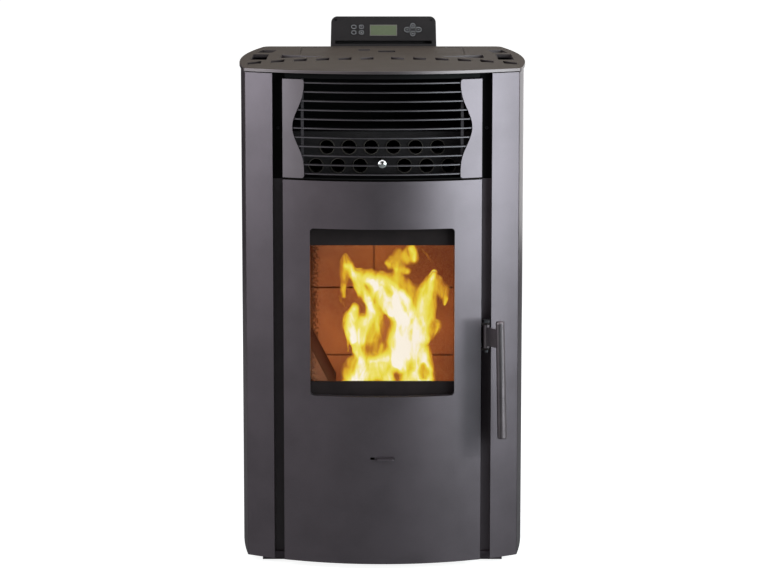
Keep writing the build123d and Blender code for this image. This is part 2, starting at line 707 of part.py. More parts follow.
def lid_seal():
    """Flat seal between the hopper's rim and the top plate."""
    z0 = PLATE_BOTTOM - SEAL_THICKNESS
    outer = block(-HOPPER_HALF, HOPPER_HALF, HOPPER_FRONT, HOPPER_BACK, z0, PLATE_BOTTOM)
    half = HOPPER_HALF - SEAL_WIDTH
    return outer - block(-half, half, HOPPER_FRONT + SEAL_WIDTH, HOPPER_BACK - SEAL_WIDTH, z0 - 1,
                         PLATE_BOTTOM + 1)


# ================================================================ grille
def grille_slats():
    parts = []
    for i in range(SLAT_COUNT):
        z = GRILLE_BOTTOM + SLAT_FIRST + i * SLAT_PITCH
        parts.append(front_band(-SLAT_HALF, SLAT_HALF, SLAT_INSET, SLAT_DEPTH, z - SLAT_THICKNESS / 2,
                                z + SLAT_THICKNESS / 2))
    for side in (-1, 1):
        x = side * UPRIGHT_X
        y = front_y(x, SLAT_INSET + SLAT_DEPTH) - 1.5
        parts.append(block(x - UPRIGHT_WIDTH / 2, x + UPRIGHT_WIDTH / 2, y, y + 4,
                           GRILLE_FLOOR + SEAT_GAP, GRILLE_TOP))
    whole = parts[0]
    for part in parts[1:]:
        whole += part
    return whole


def cheek_outline():
    """The wavy inner edge runs from the wide top to the waist and out to the wide foot."""
    outer = -DOOR_HALF
    end = outer + CHEEK_END_WIDTH
    waist = outer + CHEEK_WAIST_WIDTH
    shoulder = outer + CHEEK_END_WIDTH * 0.80
    top = GRILLE_TOP
    foot = GRILLE_BOTTOM
    height = top - foot
    wave = Spline((end, top - 0.035 * height), (shoulder, foot + 0.75 * height),
                  (waist, foot + 0.512 * height),
                  (shoulder + 1, foot + 0.27 * height), (end, foot + 0.035 * height),
                  tangents=[(0, -1), (0, -1)])
    upper = Polyline(wave @ 0, (end, top), (outer, top), (outer, foot), (end, foot), wave @ 1)
    face = make_face([wave, upper])
    corners = [v for v in face.vertices() if v.X > outer + 1 and min(abs(v.Y - top),
                                                                     abs(v.Y - foot)) < 0.01]
    return fillet(corners, CHEEK_CORNER)


def grille_cheek():
    inner = -DOOR_HALF + CHEEK_END_WIDTH
    sheet = front_band(-DOOR_HALF, inner, 0, SHEET, GRILLE_BOTTOM, GRILLE_TOP)
    sheet &= extrude(Plane.XZ * cheek_outline(), 120, both=True)
    y0 = front_y(DOOR_HALF, SHEET / 2)
    fold = block(-DOOR_HALF, -DOOR_HALF + SHEET, y0, POST_FACE - SEAT_GAP, GRILLE_BOTTOM, GRILLE_TOP)
    return sheet + fold


def curved_shelf(half, inset, back, z0, z1):
    """A level sheet from the front arc back to y = back."""
    arc = ThreePointArc((-half, front_y(half, inset)), (0, front_y(0, inset)), (half, front_y(half, inset)))
    rest = Polyline(arc @ 1, (half, back), (-half, back), arc @ 0)
    return Pos(0, 0, z0) * extrude(make_face([arc, rest]), z1 - z0, dir=(0, 0, 1))


def grille_housing():
    """Dark recess: floor, roof, side and back walls, and the flanges that head the channels."""
    wall = HOUSING_HALF
    outer = DOOR_HALF - SHEET + POST_WIDTH
    flange_foot = POST_TOP + SEAT_GAP
    side = block(-wall, -wall + SHEET, POST_FACE, HOUSING_DEPTH, GRILLE_BOTTOM - 1, PANEL_TOP)
    side += block(-outer, -wall + SHEET, POST_FACE, POST_FACE + SHEET, flange_foot, PANEL_TOP)
    side += block(-outer, -outer + SHEET, POST_FACE, POST_FACE + POST_DEPTH, flange_foot, PANEL_TOP)
    rear = block(-wall, wall, HOUSING_DEPTH, HOUSING_DEPTH + SHEET, GRILLE_BOTTOM - 1,
                 PLATE_BOTTOM - SEAT_GAP)
    roof = curved_shelf(wall, LIP_INSET, HOUSING_DEPTH, PANEL_TOP - SHEET, PANEL_TOP)
    lip = front_band(-wall, wall, LIP_INSET, SHEET, GRILLE_TOP + 1, PANEL_TOP)
    base = curved_shelf(wall, SLAT_INSET, HOUSING_DEPTH, GRILLE_FLOOR - SHEET, GRILLE_FLOOR)
    return side + mirrored(side) + rear + roof + lip + base


# ================================================================ heat exchanger
UPPER_ROW_X = [TUBE_PITCH * (i + 0.5) * s for i in range(3) for s in (-1, 1)]
LOWER_ROW_X = [TUBE_PITCH * (i + 1) * s for i in range(3) for s in (-1, 1)]
TUBE_PLACES = [(x, TUBE_LOW_Z + TUBE_ROW_RISE) for x in UPPER_ROW_X] + [(x,
                                                                         TUBE_LOW_Z) for x in LOWER_ROW_X]
EXCHANGER_HALF = HOUSING_HALF - SHEET - SEAT_GAP


def exchanger_tubes():
    tubes = []
    for x, z in TUBE_PLACES:
        y1 = TUBE_FRONT + TUBE_LENGTH
        tubes.append(rod_y(x, z, TUBE_FRONT, y1, TUBE_R) - rod_y(x, z, TUBE_FRONT - 1, y1 + 1,
                                                                 TUBE_R - TUBE_WALL))
    return group(tubes)


def tube_plate():
    """Front tube plate, cover and rear tube plate, folded from one sheet."""
    y0 = TUBE_FRONT + 2
    y1 = TUBE_FRONT + TUBE_LENGTH - 4
    foot = GRILLE_FLOOR + SEAT_GAP
    wrap = block(-EXCHANGER_HALF, EXCHANGER_HALF, y0, y1, foot, EXCHANGER_TOP)
    wrap -= block(-EXCHANGER_HALF - 1, EXCHANGER_HALF + 1, y0 + SHEET, y1 - SHEET, foot - 1,
                  EXCHANGER_TOP - SHEET)
    wrap -= [rod_y(x, z, y0 - 1, y1 + 1, TUBE_R + RUN_GAP) for x, z in TUBE_PLACES]
    return wrap - rod_y(0, SCRAPER_Z, y0 - 1, y0 + SHEET + 1, SCRAPER_ROD_R + RUN_GAP)


def scraper_rod():
    """Pull rod with the scraper plate that rides along the tubes."""
    plate_y = TUBE_FRONT + TUBE_LENGTH - SCRAPER_SETBACK
    plate_back = plate_y + SCRAPER_PLATE
    rod = rod_y(0, SCRAPER_Z, KNOB_BACK - KNOB_SOCKET, plate_back, SCRAPER_ROD_R)
    half = 3 * TUBE_PITCH + TUBE_R + SCRAPER_EDGE
    plate = block(-half, half, plate_y, plate_back, GRILLE_FLOOR + SCRAPER_FOOT,
                  EXCHANGER_TOP - SCRAPER_EDGE)
    plate -= [rod_y(x, z, plate_y - 1, plate_back + 1, TUBE_R + SEAT_GAP) for x, z in TUBE_PLACES]
    return rod + plate


def scraper_knob():
    """Round pull knob just before the slats, with the socket that takes the rod."""
    front = -DOOR_BULGE - KNOB_PROUD
    body = rounded_bar(KNOB_R, KNOB_R, KNOB_BACK - front, KNOB_EDGE, KNOB_EDGE)
    knob = Pos(0, KNOB_BACK, SCRAPER_Z) * Rot(90, 0, 0) * body
    return knob - rod_y(0, SCRAPER_Z, KNOB_BACK - KNOB_SOCKET, KNOB_BACK + 1, SCRAPER_ROD_R)


# ================================================================ firebox
def firebox_shell():
    wall = FIREBOX_PLATE
    y_plate = FIREBOX_FACE + wall
    half = FIREBOX_HALF
    box = block(-half, half, y_plate, FIREBOX_BACK, FIREBOX_BOTTOM, FIREBOX_TOP)
    chamber = block(-half + wall, half - wall, y_plate, FIREBOX_BACK - wall, HEARTH_Z, FIREBOX_TOP - wall)
    ash_space = block(-half + wall, half - wall, y_plate, FIREBOX_BACK - wall, FIREBOX_BOTTOM + wall,
                      HEARTH_Z - wall)
    shell = box - chamber - ash_space
    plate_half = DOOR_HALF - SHEET - 2.5
    front = block(-plate_half, plate_half, FIREBOX_FACE, y_plate, BASE_FLOOR + SEAT_GAP, DOOR_TOP)
    front -= block(-MOUTH_HALF, MOUTH_HALF, FIREBOX_FACE - 1, y_plate + 1, MOUTH_BOTTOM, MOUTH_TOP)
    front -= block(-DRAWER_HALF - 1, DRAWER_HALF + 1, FIREBOX_FACE - 1, y_plate + 1,
                   FIREBOX_BOTTOM + FIREBOX_PLATE,
                   DRAWER_BOTTOM + DRAWER_HEIGHT + 1)
    shell += front
    for x in (-half, half - wall):
        shell += block(x, x + wall, LEG_Y, LEG_Y + LEG_WIDTH, BASE_FLOOR + SEAT_GAP, FIREBOX_BOTTOM + 1)
    shell -= rod_y(0, IGNITER_Z, FIREBOX_BACK - wall - 1, FIREBOX_BACK + 1, IGNITER_R + SEAT_GAP)
    shell -= rod_z(0, POT_Y, HEARTH_Z - wall - 1, HEARTH_Z + 1, POT_R + SEAT_GAP)
    shell -= block(-CHUTE_HALF, CHUTE_HALF, FIREBOX_BACK - wall - 1, FIREBOX_BACK + 1, CHUTE_Z,
                   CHUTE_Z + CHUTE_HEIGHT)
    shell -= rod_y(INLET_X, INLET_Z, FIREBOX_BACK - wall - 1, FIREBOX_BACK + 1,
                   INLET_R + SPIGOT_STEP + SEAT_GAP)
    shell -= rod_y(FLUE_X, FLUE_PORT_Z, FIREBOX_BACK - wall - 1, FIREBOX_BACK + 1, ELBOW_R - BLOWER_WALL)
    return shell


def back_refractory():
    """Cast panel with the joints of laid bricks pressed into its face."""
    half = FIREBOX_HALF - FIREBOX_PLATE - BRICK - SEAT_GAP * 2
    y1 = FIREBOX_BACK - FIREBOX_PLATE - SEAT_GAP
    y0 = y1 - BRICK
    panel = block(-half, half, y0, y1, HEARTH_Z + SEAT_GAP, BRICK_TOP)
    panel -= block(-CHUTE_HALF, CHUTE_HALF, y0 - 1, y1 + 1, CHUTE_Z, CHUTE_Z + CHUTE_HEIGHT)
    ledges = COURSES + (BRICK_TOP + 1,)
    for z in COURSES:
        panel -= block(-half - 1, half + 1, y0 - 1, y0 + JOINT_DEPTH, z - BRICK_JOINT / 2,
                       z + BRICK_JOINT / 2)
    for x, course in CROSS_JOINTS:
        panel -= block(x - BRICK_JOINT / 2, x + BRICK_JOINT / 2, y0 - 1, y0 + JOINT_DEPTH, ledges[course],
                       ledges[course + 1])
    return panel


def side_refractories():
    """Side panels; the left one has a thick foot that slopes towards the burn pot."""
    outer = -FIREBOX_HALF + FIREBOX_PLATE + SEAT_GAP
    inner = outer + BRICK
    foot = HEARTH_Z + SEAT_GAP
    outline = upright_face([(outer, foot), (inner + WEDGE_REACH, foot),
                            (inner + WEDGE_REACH, foot + WEDGE_LIP),
                            (inner, foot + WEDGE_RISE), (inner, BRICK_TOP), (outer, BRICK_TOP)])
    y0 = FIREBOX_FACE + FIREBOX_PLATE + SEAT_GAP
    y1 = FIREBOX_BACK - FIREBOX_PLATE - BRICK - 2 * SEAT_GAP
    left = Pos(0, y1, 0) * extrude(outline, y1 - y0, dir=(0, -1, 0))
    right = block(-inner, -outer, y0, y1, foot, BRICK_TOP)
    return group([left, right])


def burn_pot():
    """A perforated iron cup that hangs by its rim in the hearth."""
    wall = POT_WALL
    z0 = HEARTH_Z - POT_HEIGHT + POT_RIM
    z1 = HEARTH_Z + POT_RIM
    pot = rod_z(0, POT_Y, z0, z1, POT_R)
    pot += rod_z(0, POT_Y, HEARTH_Z + SEAT_GAP, z1, POT_R + POT_RIM)
    pot -= rod_z(0, POT_Y, z0 + wall, z1 + 1, POT_R - wall)
    for ring_r, count in POT_RINGS:
        for i in range(count):
            angle = 2 * math.pi * i / count
            x = ring_r * math.cos(angle)
            y = POT_Y + ring_r * math.sin(angle)
            pot -= rod_z(x, y, z0 - 1, z0 + wall + 1, POT_HOLE_R)
    pot -= rod_y(0, IGNITER_Z, POT_Y + POT_R - wall - 2, POT_Y + POT_R + 2, IGNITER_R + 1)
    return pot


def igniter():
    heater = rod_y(0, IGNITER_Z, POT_Y + POT_R - IGNITER_LAP, FIREBOX_BACK + IGNITER_TAIL, IGNITER_R)
    collar_back = FIREBOX_BACK - FIREBOX_PLATE - SEAT_GAP
    return heater + rod_y(0, IGNITER_Z, collar_back - IGNITER_COLLAR, collar_back, IGNITER_COLLAR_R)


def ash_drawer():
    y0 = FIREBOX_FACE
    y1 = y0 + DRAWER_DEPTH
    z0 = DRAWER_BOTTOM
    z1 = z0 + DRAWER_HEIGHT
    inner = DRAWER_HALF - SHEET
    face_back = y0 + 2 * SHEET
    drawer = block(-DRAWER_HALF, DRAWER_HALF, y0, y1, z0, POT_CLEAR_Z)
    drawer -= block(-inner, inner, face_back, y1 - SHEET, z0 + SHEET, POT_CLEAR_Z + 1)
    front = block(-DRAWER_HALF, DRAWER_HALF, y0, face_back, z0, z1)
    grip = block(-GRIP_HALF, GRIP_HALF, face_back - 1, y0 + GRIP_REACH, z1 - 2 * GRIP_DROP, z1 - GRIP_DROP)
    return drawer + front + grip


# ================================================================ feed
def auger_tube():
    """Feed tube with its inlet under the hopper and the drop chute into the firebox."""
    tube = rod_y(0, AUGER_Z, AUGER_FRONT, AUGER_BACK, AUGER_TUBE_R)
    collar_half = OUTLET_HALF
    collar = block(-collar_half, collar_half, OUTLET_Y - collar_half, OUTLET_Y + collar_half, AUGER_Z,
                   HOPPER_FOOT - SEAT_GAP)
    y_wall = FIREBOX_BACK + SEAT_GAP
    outline = [(y_wall, CHUTE_Z), (y_wall, CHUTE_Z + CHUTE_HEIGHT), (AUGER_FRONT, AUGER_Z + AUGER_TUBE_R),
               (AUGER_FRONT + CHUTE_DEPTH, AUGER_Z + AUGER_TUBE_R), (AUGER_FRONT + CHUTE_DEPTH,
                                                                     AUGER_Z - AUGER_TUBE_R)]
    chute = extrude(Plane.YZ * make_face(Polyline(*outline, close=True)), CHUTE_HALF, both=True)
    inner = [(y_wall - 1, CHUTE_Z + SHEET + 1), (y_wall - 1, CHUTE_Z + CHUTE_HEIGHT - SHEET),
             (AUGER_FRONT + SHEET, AUGER_Z + AUGER_TUBE_R - SHEET - 1),
             (AUGER_FRONT + CHUTE_DEPTH - SHEET, AUGER_Z + AUGER_TUBE_R - SHEET - 1),
             (AUGER_FRONT + CHUTE_DEPTH - SHEET, AUGER_Z - AUGER_TUBE_R + SHEET)]
    hollow = extrude(Plane.YZ * make_face(Polyline(*inner, close=True)), CHUTE_HALF - SHEET, both=True)
    body = tube + collar + chute
    body -= hollow
    body -= rod_y(0, AUGER_Z, AUGER_FRONT + SHEET, AUGER_BACK - AUGER_TUBE_WALL,
                  AUGER_TUBE_R - AUGER_TUBE_WALL)
    body -= block(-collar_half + SHEET, collar_half - SHEET, OUTLET_Y - collar_half + SHEET,
                  OUTLET_Y + collar_half - SHEET, AUGER_Z + COLLAR_RISE, HOPPER_FOOT + 1)
    return body - rod_y(0, AUGER_Z, AUGER_BACK - AUGER_TUBE_WALL - 1, AUGER_BACK + 1,
                        AUGER_SHAFT_R + RUN_GAP)


def auger_screw():
    """Shaft with one helical flight, laid out as a ribbon of straight steps and closed into a solid."""
    y0 = AUGER_FRONT + AUGER_END_GAP
    y1 = AUGER_BACK - AUGER_TUBE_WALL - AUGER_END_GAP
    length = y1 - y0
    count = round(length / AUGER_PITCH * FLIGHT_STEPS)

    def section(i):
        angle = 2 * math.pi * i / FLIGHT_STEPS
        z = (length - FLIGHT_THICKNESS) * i / count
        corners = []
        for radius, lift in ((AUGER_SHAFT_R - FLIGHT_ROOT, 0), (AUGER_R, 0), (AUGER_R, FLIGHT_THICKNESS),
                             (AUGER_SHAFT_R - FLIGHT_ROOT, FLIGHT_THICKNESS)):
            corners.append((radius * math.cos(angle), radius * math.sin(angle), z + lift))
        return corners

    def facet(*points):
        return Face(Wire(Polyline(*points, close=True)))

    faces = [facet(*section(0)), facet(*reversed(section(count)))]
    for i in range(count):
        near = section(i)
        far = section(i + 1)
        for k in range(4):
            after = (k + 1) % 4
            faces.append(facet(near[k], near[after], far[k]))
            faces.append(facet(near[after], far[after], far[k]))
    flight = Solid(Shell(faces))
    screw = Pos(0, 0, length / 2) * Cylinder(AUGER_SHAFT_R, length) + flight
    screw = Pos(0, y1, AUGER_Z) * Rot(90, 0, 0) * screw
    return screw + rod_y(0, AUGER_Z, y1 - 1, AUGER_BACK + AUGER_END_GAP, AUGER_SHAFT_R)


def auger_motor():
    """Gear case on the end of the auger's shaft, with its motor behind it."""
    y0 = AUGER_BACK + SEAT_GAP
    y1 = y0 + GEAR_LENGTH
    gear = block(-GEAR_HALF, GEAR_HALF, y0, y1, AUGER_Z - GEAR_HALF, AUGER_Z + GEAR_HALF + GEAR_HEAD)
    gear -= rod_y(0, AUGER_Z, y0 - 1, y0 + GEAR_BORE, AUGER_SHAFT_R + RUN_GAP)
    return gear + rod_y(0, AUGER_Z + MOTOR_RISE, y1 - 1, y1 + MOTOR_LENGTH, MOTOR_R)


# ================================================================ fans and pipes
def impeller(blade_count, outer_r, inner_r, depth):
    """Radial wheel on a back disc, axis along z, disc at z = 0."""
    disc = Pos(0, 0, DISC_THICKNESS / 2) * Cylinder(outer_r, DISC_THICKNESS)
    wheel = disc + Pos(0, 0, depth / 2) * Cylinder(HUB_RADIUS + HUB_WALL, depth)
    reach = outer_r - inner_r
    for i in range(blade_count):
        blade = Rot(0, 0, BLADE_SET) * Box(reach, BLADE_THICKNESS, depth)
        wheel += Rot(0, 0, 360 * i / blade_count) * Pos((outer_r + inner_r) / 2, 0, depth / 2) * blade
    wheel &= Pos(0, 0, depth / 2) * Cylinder(outer_r, depth)
    return wheel - Pos(0, 0, depth / 2) * Cylinder(HUB_RADIUS, depth + 4)


def exhaust_blower():
    """Cast scroll on the flue line: suction elbow in front, spigot behind, shaft stub inside."""
    y0 = BLOWER_FRONT
    y1 = y0 + BLOWER_DEPTH
    wall = BLOWER_WALL
    seat_y = BODY_DEPTH + SPIGOT_SEAT
    elbow_y = FIREBOX_BACK + SEAT_GAP
    flange_back = elbow_y + ELBOW_FLANGE_DEPTH
    elbow_end = y0 + ELBOW_END
    drop_y = y0 + DROP_BEHIND
    drop_low = FLUE_Z + BLOWER_R - DROP_LAP
    outside = rod_y(FLUE_X, FLUE_Z, y0, y1, BLOWER_R)
    outside += rod_y(FLUE_X, FLUE_Z, y1 - 1, seat_y, FLUE_R + SPIGOT_STEP)
    outside += rod_y(FLUE_X, FLUE_Z, seat_y - 1, REAR_MOST, FLUE_R)
    outside += rod_y(FLUE_X, FLUE_PORT_Z, flange_back - 1, elbow_end, ELBOW_R)
    outside += rod_y(FLUE_X, FLUE_PORT_Z, elbow_y, flange_back, ELBOW_R + ELBOW_FLANGE)
    outside += rod_z(FLUE_X, drop_y, drop_low, FLUE_PORT_Z, DROP_R)
    outside += rod_y(FLUE_X, FLUE_Z, y0 - FAN_MOTOR_LENGTH, y0 + 1, FAN_MOTOR_R)
    inside = rod_y(FLUE_X, FLUE_Z, y0 + wall, y1 - wall, BLOWER_R - wall)
    inside += rod_y(FLUE_X, FLUE_Z, y1 - wall - 1, REAR_MOST + 1, FLUE_R - wall)
    inside += rod_y(FLUE_X, FLUE_PORT_Z, elbow_y - 1, elbow_end - wall, ELBOW_R - wall)
    inside += rod_z(FLUE_X, drop_y, drop_low - WHEEL_CLEAR, FLUE_PORT_Z, DROP_R - wall)
    shaft = rod_y(FLUE_X, FLUE_Z, y0 + wall - 1, y0 + wall + EXHAUST_SHAFT, HUB_RADIUS - RUN_GAP)
    return outside - inside + shaft


def exhaust_impeller():
    wheel = impeller(EXHAUST_BLADES, EXHAUST_WHEEL_R, EXHAUST_EYE_R, EXHAUST_WHEEL_DEPTH)
    disc_y = BLOWER_FRONT + BLOWER_WALL + EXHAUST_WHEEL_DEPTH + WHEEL_CLEAR
    return Pos(FLUE_X, disc_y, FLUE_Z) * Rot(90, 0, 0) * wheel


def convection_blower():
    """Sheet scroll on the base floor with an open inlet to the rear and an outlet upwards."""
    y0 = CONVECTION_FRONT
    y1 = y0 + CONVECTION_DEPTH
    wall = BLOWER_WALL
    outer = FAN_R + SCROLL_GROWTH
    mouth_z = FAN_Z + outer + SCROLL_MOUTH
    scroll = rod_y(FAN_X, FAN_Z, y0, y1, outer)
    duct = block(FAN_X - outer, FAN_X - DUCT_INNER, y0, y1, FAN_Z, mouth_z)
    stand = block(FAN_X - STAND_HALF, FAN_X + STAND_HALF, y0, y1, BASE_FLOOR + SEAT_GAP, FAN_Z)
    whole = scroll + duct + stand
    whole -= rod_y(FAN_X, FAN_Z, y0 + wall, y1 - wall, outer - wall)
    whole -= block(FAN_X - outer + wall, FAN_X - DUCT_INNER - wall, y0 + wall, y1 - wall, FAN_Z,
                   mouth_z + 1)
    whole -= rod_y(FAN_X, FAN_Z, y1 - wall - 1, y1 + 1, FAN_R - CONVECTION_EYE)
    return whole + rod_y(FAN_X, FAN_Z, y0 + wall - 1, y1 - SHAFT_SHORT, HUB_RADIUS - RUN_GAP)


def convection_impeller():
    wheel = impeller(CONVECTION_BLADES, FAN_R, FAN_R - BLADE_REACH, CONVECTION_DEPTH - WHEEL_SHORT)
    return Pos(FAN_X, CONVECTION_FRONT + BLOWER_WALL + WHEEL_LIFT, FAN_Z) * Rot(-90, 0, 0) * wheel


def air_inlet_pipe():
    """Combustion air pipe; outside the rear panel it steps down to the size of the hose."""
    y0 = FIREBOX_BACK - FIREBOX_PLATE
    seat_y = BODY_DEPTH + SPIGOT_SEAT
    pipe = rod_y(INLET_X, INLET_Z, y0, seat_y, INLET_R + SPIGOT_STEP)
    pipe += rod_y(INLET_X, INLET_Z, seat_y - 1, REAR_MOST, INLET_R)
    return pipe - rod_y(INLET_X, INLET_Z, y0 - 1, REAR_MOST + 1, INLET_R - SHEET)


def power_inlet():
    """Appliance inlet: flange, body and three flat contacts in its well."""
    half = SOCKET_HALF - SEAT_GAP
    wide = half + SOCKET_EAR
    well = half - SOCKET_WALL
    z0 = SOCKET_Z + SEAT_GAP
    z1 = SOCKET_Z + SOCKET_HEIGHT - SEAT_GAP
    y0 = BODY_DEPTH - SOCKET_WELL
    face = BODY_DEPTH + SOCKET_FLANGE
    body = block(SOCKET_X - half, SOCKET_X + half, BODY_DEPTH - SOCKET_DEPTH, BODY_DEPTH + 1, z0, z1)
    body += block(SOCKET_X - wide, SOCKET_X + wide, BODY_DEPTH, face, z0 - SOCKET_EAR / 2,
                  z1 + SOCKET_EAR / 2)
    body -= block(SOCKET_X - well, SOCKET_X + well, y0, face + 1, z0 + SOCKET_WALL, z1 - SOCKET_WALL)
    middle = (z0 + z1) / 2
    for dx, dz in CONTACTS:
        x = SOCKET_X + dx
        z = middle + dz
        body += block(x - CONTACT_THICKNESS / 2, x + CONTACT_THICKNESS / 2, y0 - 1, BODY_DEPTH - 1,
                      z - CONTACT_WIDTH / 2, z + CONTACT_WIDTH / 2)
    return body


# ================================================================ control panel
LEAN = math.radians(CONTROL_LEAN)
FACE_PLANE = Plane(origin=(CONTROL_X, CONTROL_FRONT, CONTROL_FOOT), x_dir=(1, 0, 0),
                   z_dir=(0, -math.cos(LEAN), math.sin(LEAN)))
FACE_HEIGHT = (CONTROL_TOP - CONTROL_FOOT) / math.cos(LEAN)


def face_outline(inset=0.0):
    foot = CONTROL_HALF - inset
    head = foot - CONTROL_TAPER
    top = FACE_HEIGHT - inset
    outline = make_face(Polyline((-foot, inset), (foot, inset), (head, top), (-head, top), close=True))
    corners = [v for v in outline.vertices() if v.Y > FACE_HEIGHT / 2]
    return fillet(corners, CONTROL_CORNER - inset)


def on_face(sketch, lift, depth):
    """Push a sketch drawn on the control face back by depth, starting lift in front of it."""
    return extrude(FACE_PLANE.offset(lift) * sketch, -depth)


def petal(turn, length, grow):
    """Pointed oval whose long axis is turned by the angle."""
    half = length / 2
    upper = ThreePointArc((-half, 0), (0, PETAL_WIDTH / 2), (half, 0))
    lower = ThreePointArc((half, 0), (0, -PETAL_WIDTH / 2), (-half, 0))
    outline = make_face([upper, lower])
    return Rot(0, 0, turn) * (offset(outline, amount=grow) if grow else outline)


def key_outlines(grow=0.0):
    """Name and outline of every key, four ovals and four petals, drawn larger by grow."""
    outlines = {}
    for row, y in enumerate(KEY_ROWS):
        for column, x in enumerate(KEY_COLUMNS):
            outlines[f"button_{row * 2 + column + 1}"] = Pos(x, y) * Ellipse(KEY_HALF + grow,
                                                                             KEY_RISE + grow)
    side = PAD_REACH - PETAL_LENGTH / 2
    rise = PAD_RISE - PETAL_SHORT / 2
    outlines["pad_left"] = Pos(PAD_X - side, PAD_Y) * petal(0, PETAL_LENGTH, grow)
    outlines["pad_right"] = Pos(PAD_X + side, PAD_Y) * petal(0, PETAL_LENGTH, grow)
    outlines["pad_up"] = Pos(PAD_X, PAD_Y + rise) * petal(90, PETAL_SHORT, grow)
    outlines["pad_down"] = Pos(PAD_X, PAD_Y - rise) * petal(90, PETAL_SHORT, grow)
    return outlines


def control_housing():
    """Sheet box that stands behind the top plate, on an angle bracket down the rear panel."""
    seat = FACE_THICKNESS + SEAT_GAP
    outside = on_face(face_outline(), -seat, CONTROL_DEPTH)
    inside = on_face(face_outline(SHEET), -seat + 1, CONTROL_DEPTH - SHEET + 1)
    half = CONTROL_HALF - BRACKET_INSET
    x0 = CONTROL_X - half
    x1 = CONTROL_X + half
    y0 = BODY_DEPTH + SEAT_GAP
    y1 = CONTROL_FRONT + CONTROL_DEPTH / 2
    shelf_z = PLATE_BOTTOM - PLATE_GAP
    bracket = block(x0, x1, y0, y0 + SHEET, CONTROL_FOOT - BRACKET_DROP, shelf_z)
    bracket += block(x0, x1, y0, y1, shelf_z - SHEET, shelf_z)
    bracket += block(x0, x1, y1 - BRACKET_NECK, y1, shelf_z - SHEET, CONTROL_FOOT + BRACKET_NECK)
    return outside - inside + bracket


def control_face():
    """Front sheet with the cut-outs for the keys, the display, the screws and the slot at its foot."""
    face = on_face(face_outline(), 0, FACE_THICKNESS)
    cuts = list(key_outlines(KEY_GAP).values())
    cuts.append(Pos(0, DISPLAY_Y) * Rectangle(2 * DISPLAY_HALF, DISPLAY_HEIGHT))
    cuts.append(Pos(0, LEDGE_LOW + LEDGE_HEIGHT / 2) * Rectangle(2 * LEDGE_HALF, LEDGE_HEIGHT))
    cuts += [Pos(x, SCREW_Y) * Circle(SCREW_SHANK_R + 0.1) for x in (-SCREW_X, SCREW_X)]
    return face - [on_face(cut, 1, FACE_THICKNESS + 2) for cut in cuts]


def display_window():
    glass = Pos(0, DISPLAY_Y) * Rectangle(2 * DISPLAY_HALF - 0.4, DISPLAY_HEIGHT - 0.4)
    return on_face(glass, -0.5, 2.5)


def key_shape(outline, rim_outline):
    """Cap that stands proud of the face, with a rim behind the face that holds it in."""
    rim_lift = -FACE_THICKNESS - SEAT_GAP
    cap = on_face(outline, KEY_PROUD, KEY_PROUD - rim_lift + KEY_RIM_THICKNESS)
    return cap + on_face(rim_outline, rim_lift, KEY_RIM_THICKNESS)


# ================================================================ door
def window_sketch(grow=0.0):
    outline = Rectangle(2 * (WINDOW_HALF + grow), WINDOW_HEIGHT + 2 * grow)
    outline = fillet(outline.vertices(), WINDOW_CORNER + grow)
    return Pos(0, WINDOW_BOTTOM + WINDOW_HEIGHT / 2) * outline


def door_skin():
    """Bowed sheet with folded sides and a window whose edge is rolled inwards."""
    half = DOOR_HALF
    inner_half = half - SHEET
    outer = ThreePointArc((-half, front_y(half)), (0, front_y(0)), (half, front_y(half)))
    inner_y = front_y(inner_half, SHEET)
    inner = ThreePointArc((inner_half, inner_y), (0, front_y(0, SHEET)), (-inner_half, inner_y))
    right = Polyline(outer @ 1, (half, DOOR_RETURN_Y), (inner_half, DOOR_RETURN_Y), inner @ 0)
    left = Polyline(inner @ 1, (-inner_half, DOOR_RETURN_Y), (-half, DOOR_RETURN_Y), outer @ 0)
    skin = Pos(0, 0, PANEL_BOTTOM) * extrude(make_face([outer, right, inner, left]), DOOR_HEIGHT,
                                             dir=(0, 0, 1))
    lip = front_band(-WINDOW_HALF - 10, WINDOW_HALF + 10, SHEET / 2, WINDOW_LIP, WINDOW_BOTTOM - 10,
                     WINDOW_BOTTOM + WINDOW_HEIGHT + 10)
    skin += lip & extrude(Plane.XZ * window_sketch(SHEET), 150, both=True)
    skin -= extrude(Plane.XZ * window_sketch(), 150, both=True)
    slot_half_height = TONGUE_THICKNESS / 2 + 0.8
    skin -= block(-SLOT_HALF, SLOT_HALF, -DOOR_BULGE - 5, -DOOR_BULGE + 12, SLOT_Z - slot_half_height,
                  SLOT_Z + slot_half_height)
    ear_low = HUB_BOTTOM - SEAT_GAP - EAR_THICKNESS
    ear_high = HUB_BOTTOM + HUB_HEIGHT + SEAT_GAP
    for z in (ear_low, ear_high):
        skin -= block(DOOR_HALF - SHEET - 1, DOOR_HALF + 1, FRAME_FRONT - 1, DOOR_RETURN_Y + 5, z - 1,
                      z + EAR_THICKNESS + 1)
    for z in HINGE_EAR_Z:
        skin -= block(-DOOR_HALF - 1, -DOOR_HALF + SHEET + 1, inner_y + SHEET, DOOR_RETURN_Y + 5, z - 1,
                      z + EAR_THICKNESS + 1)
    return skin


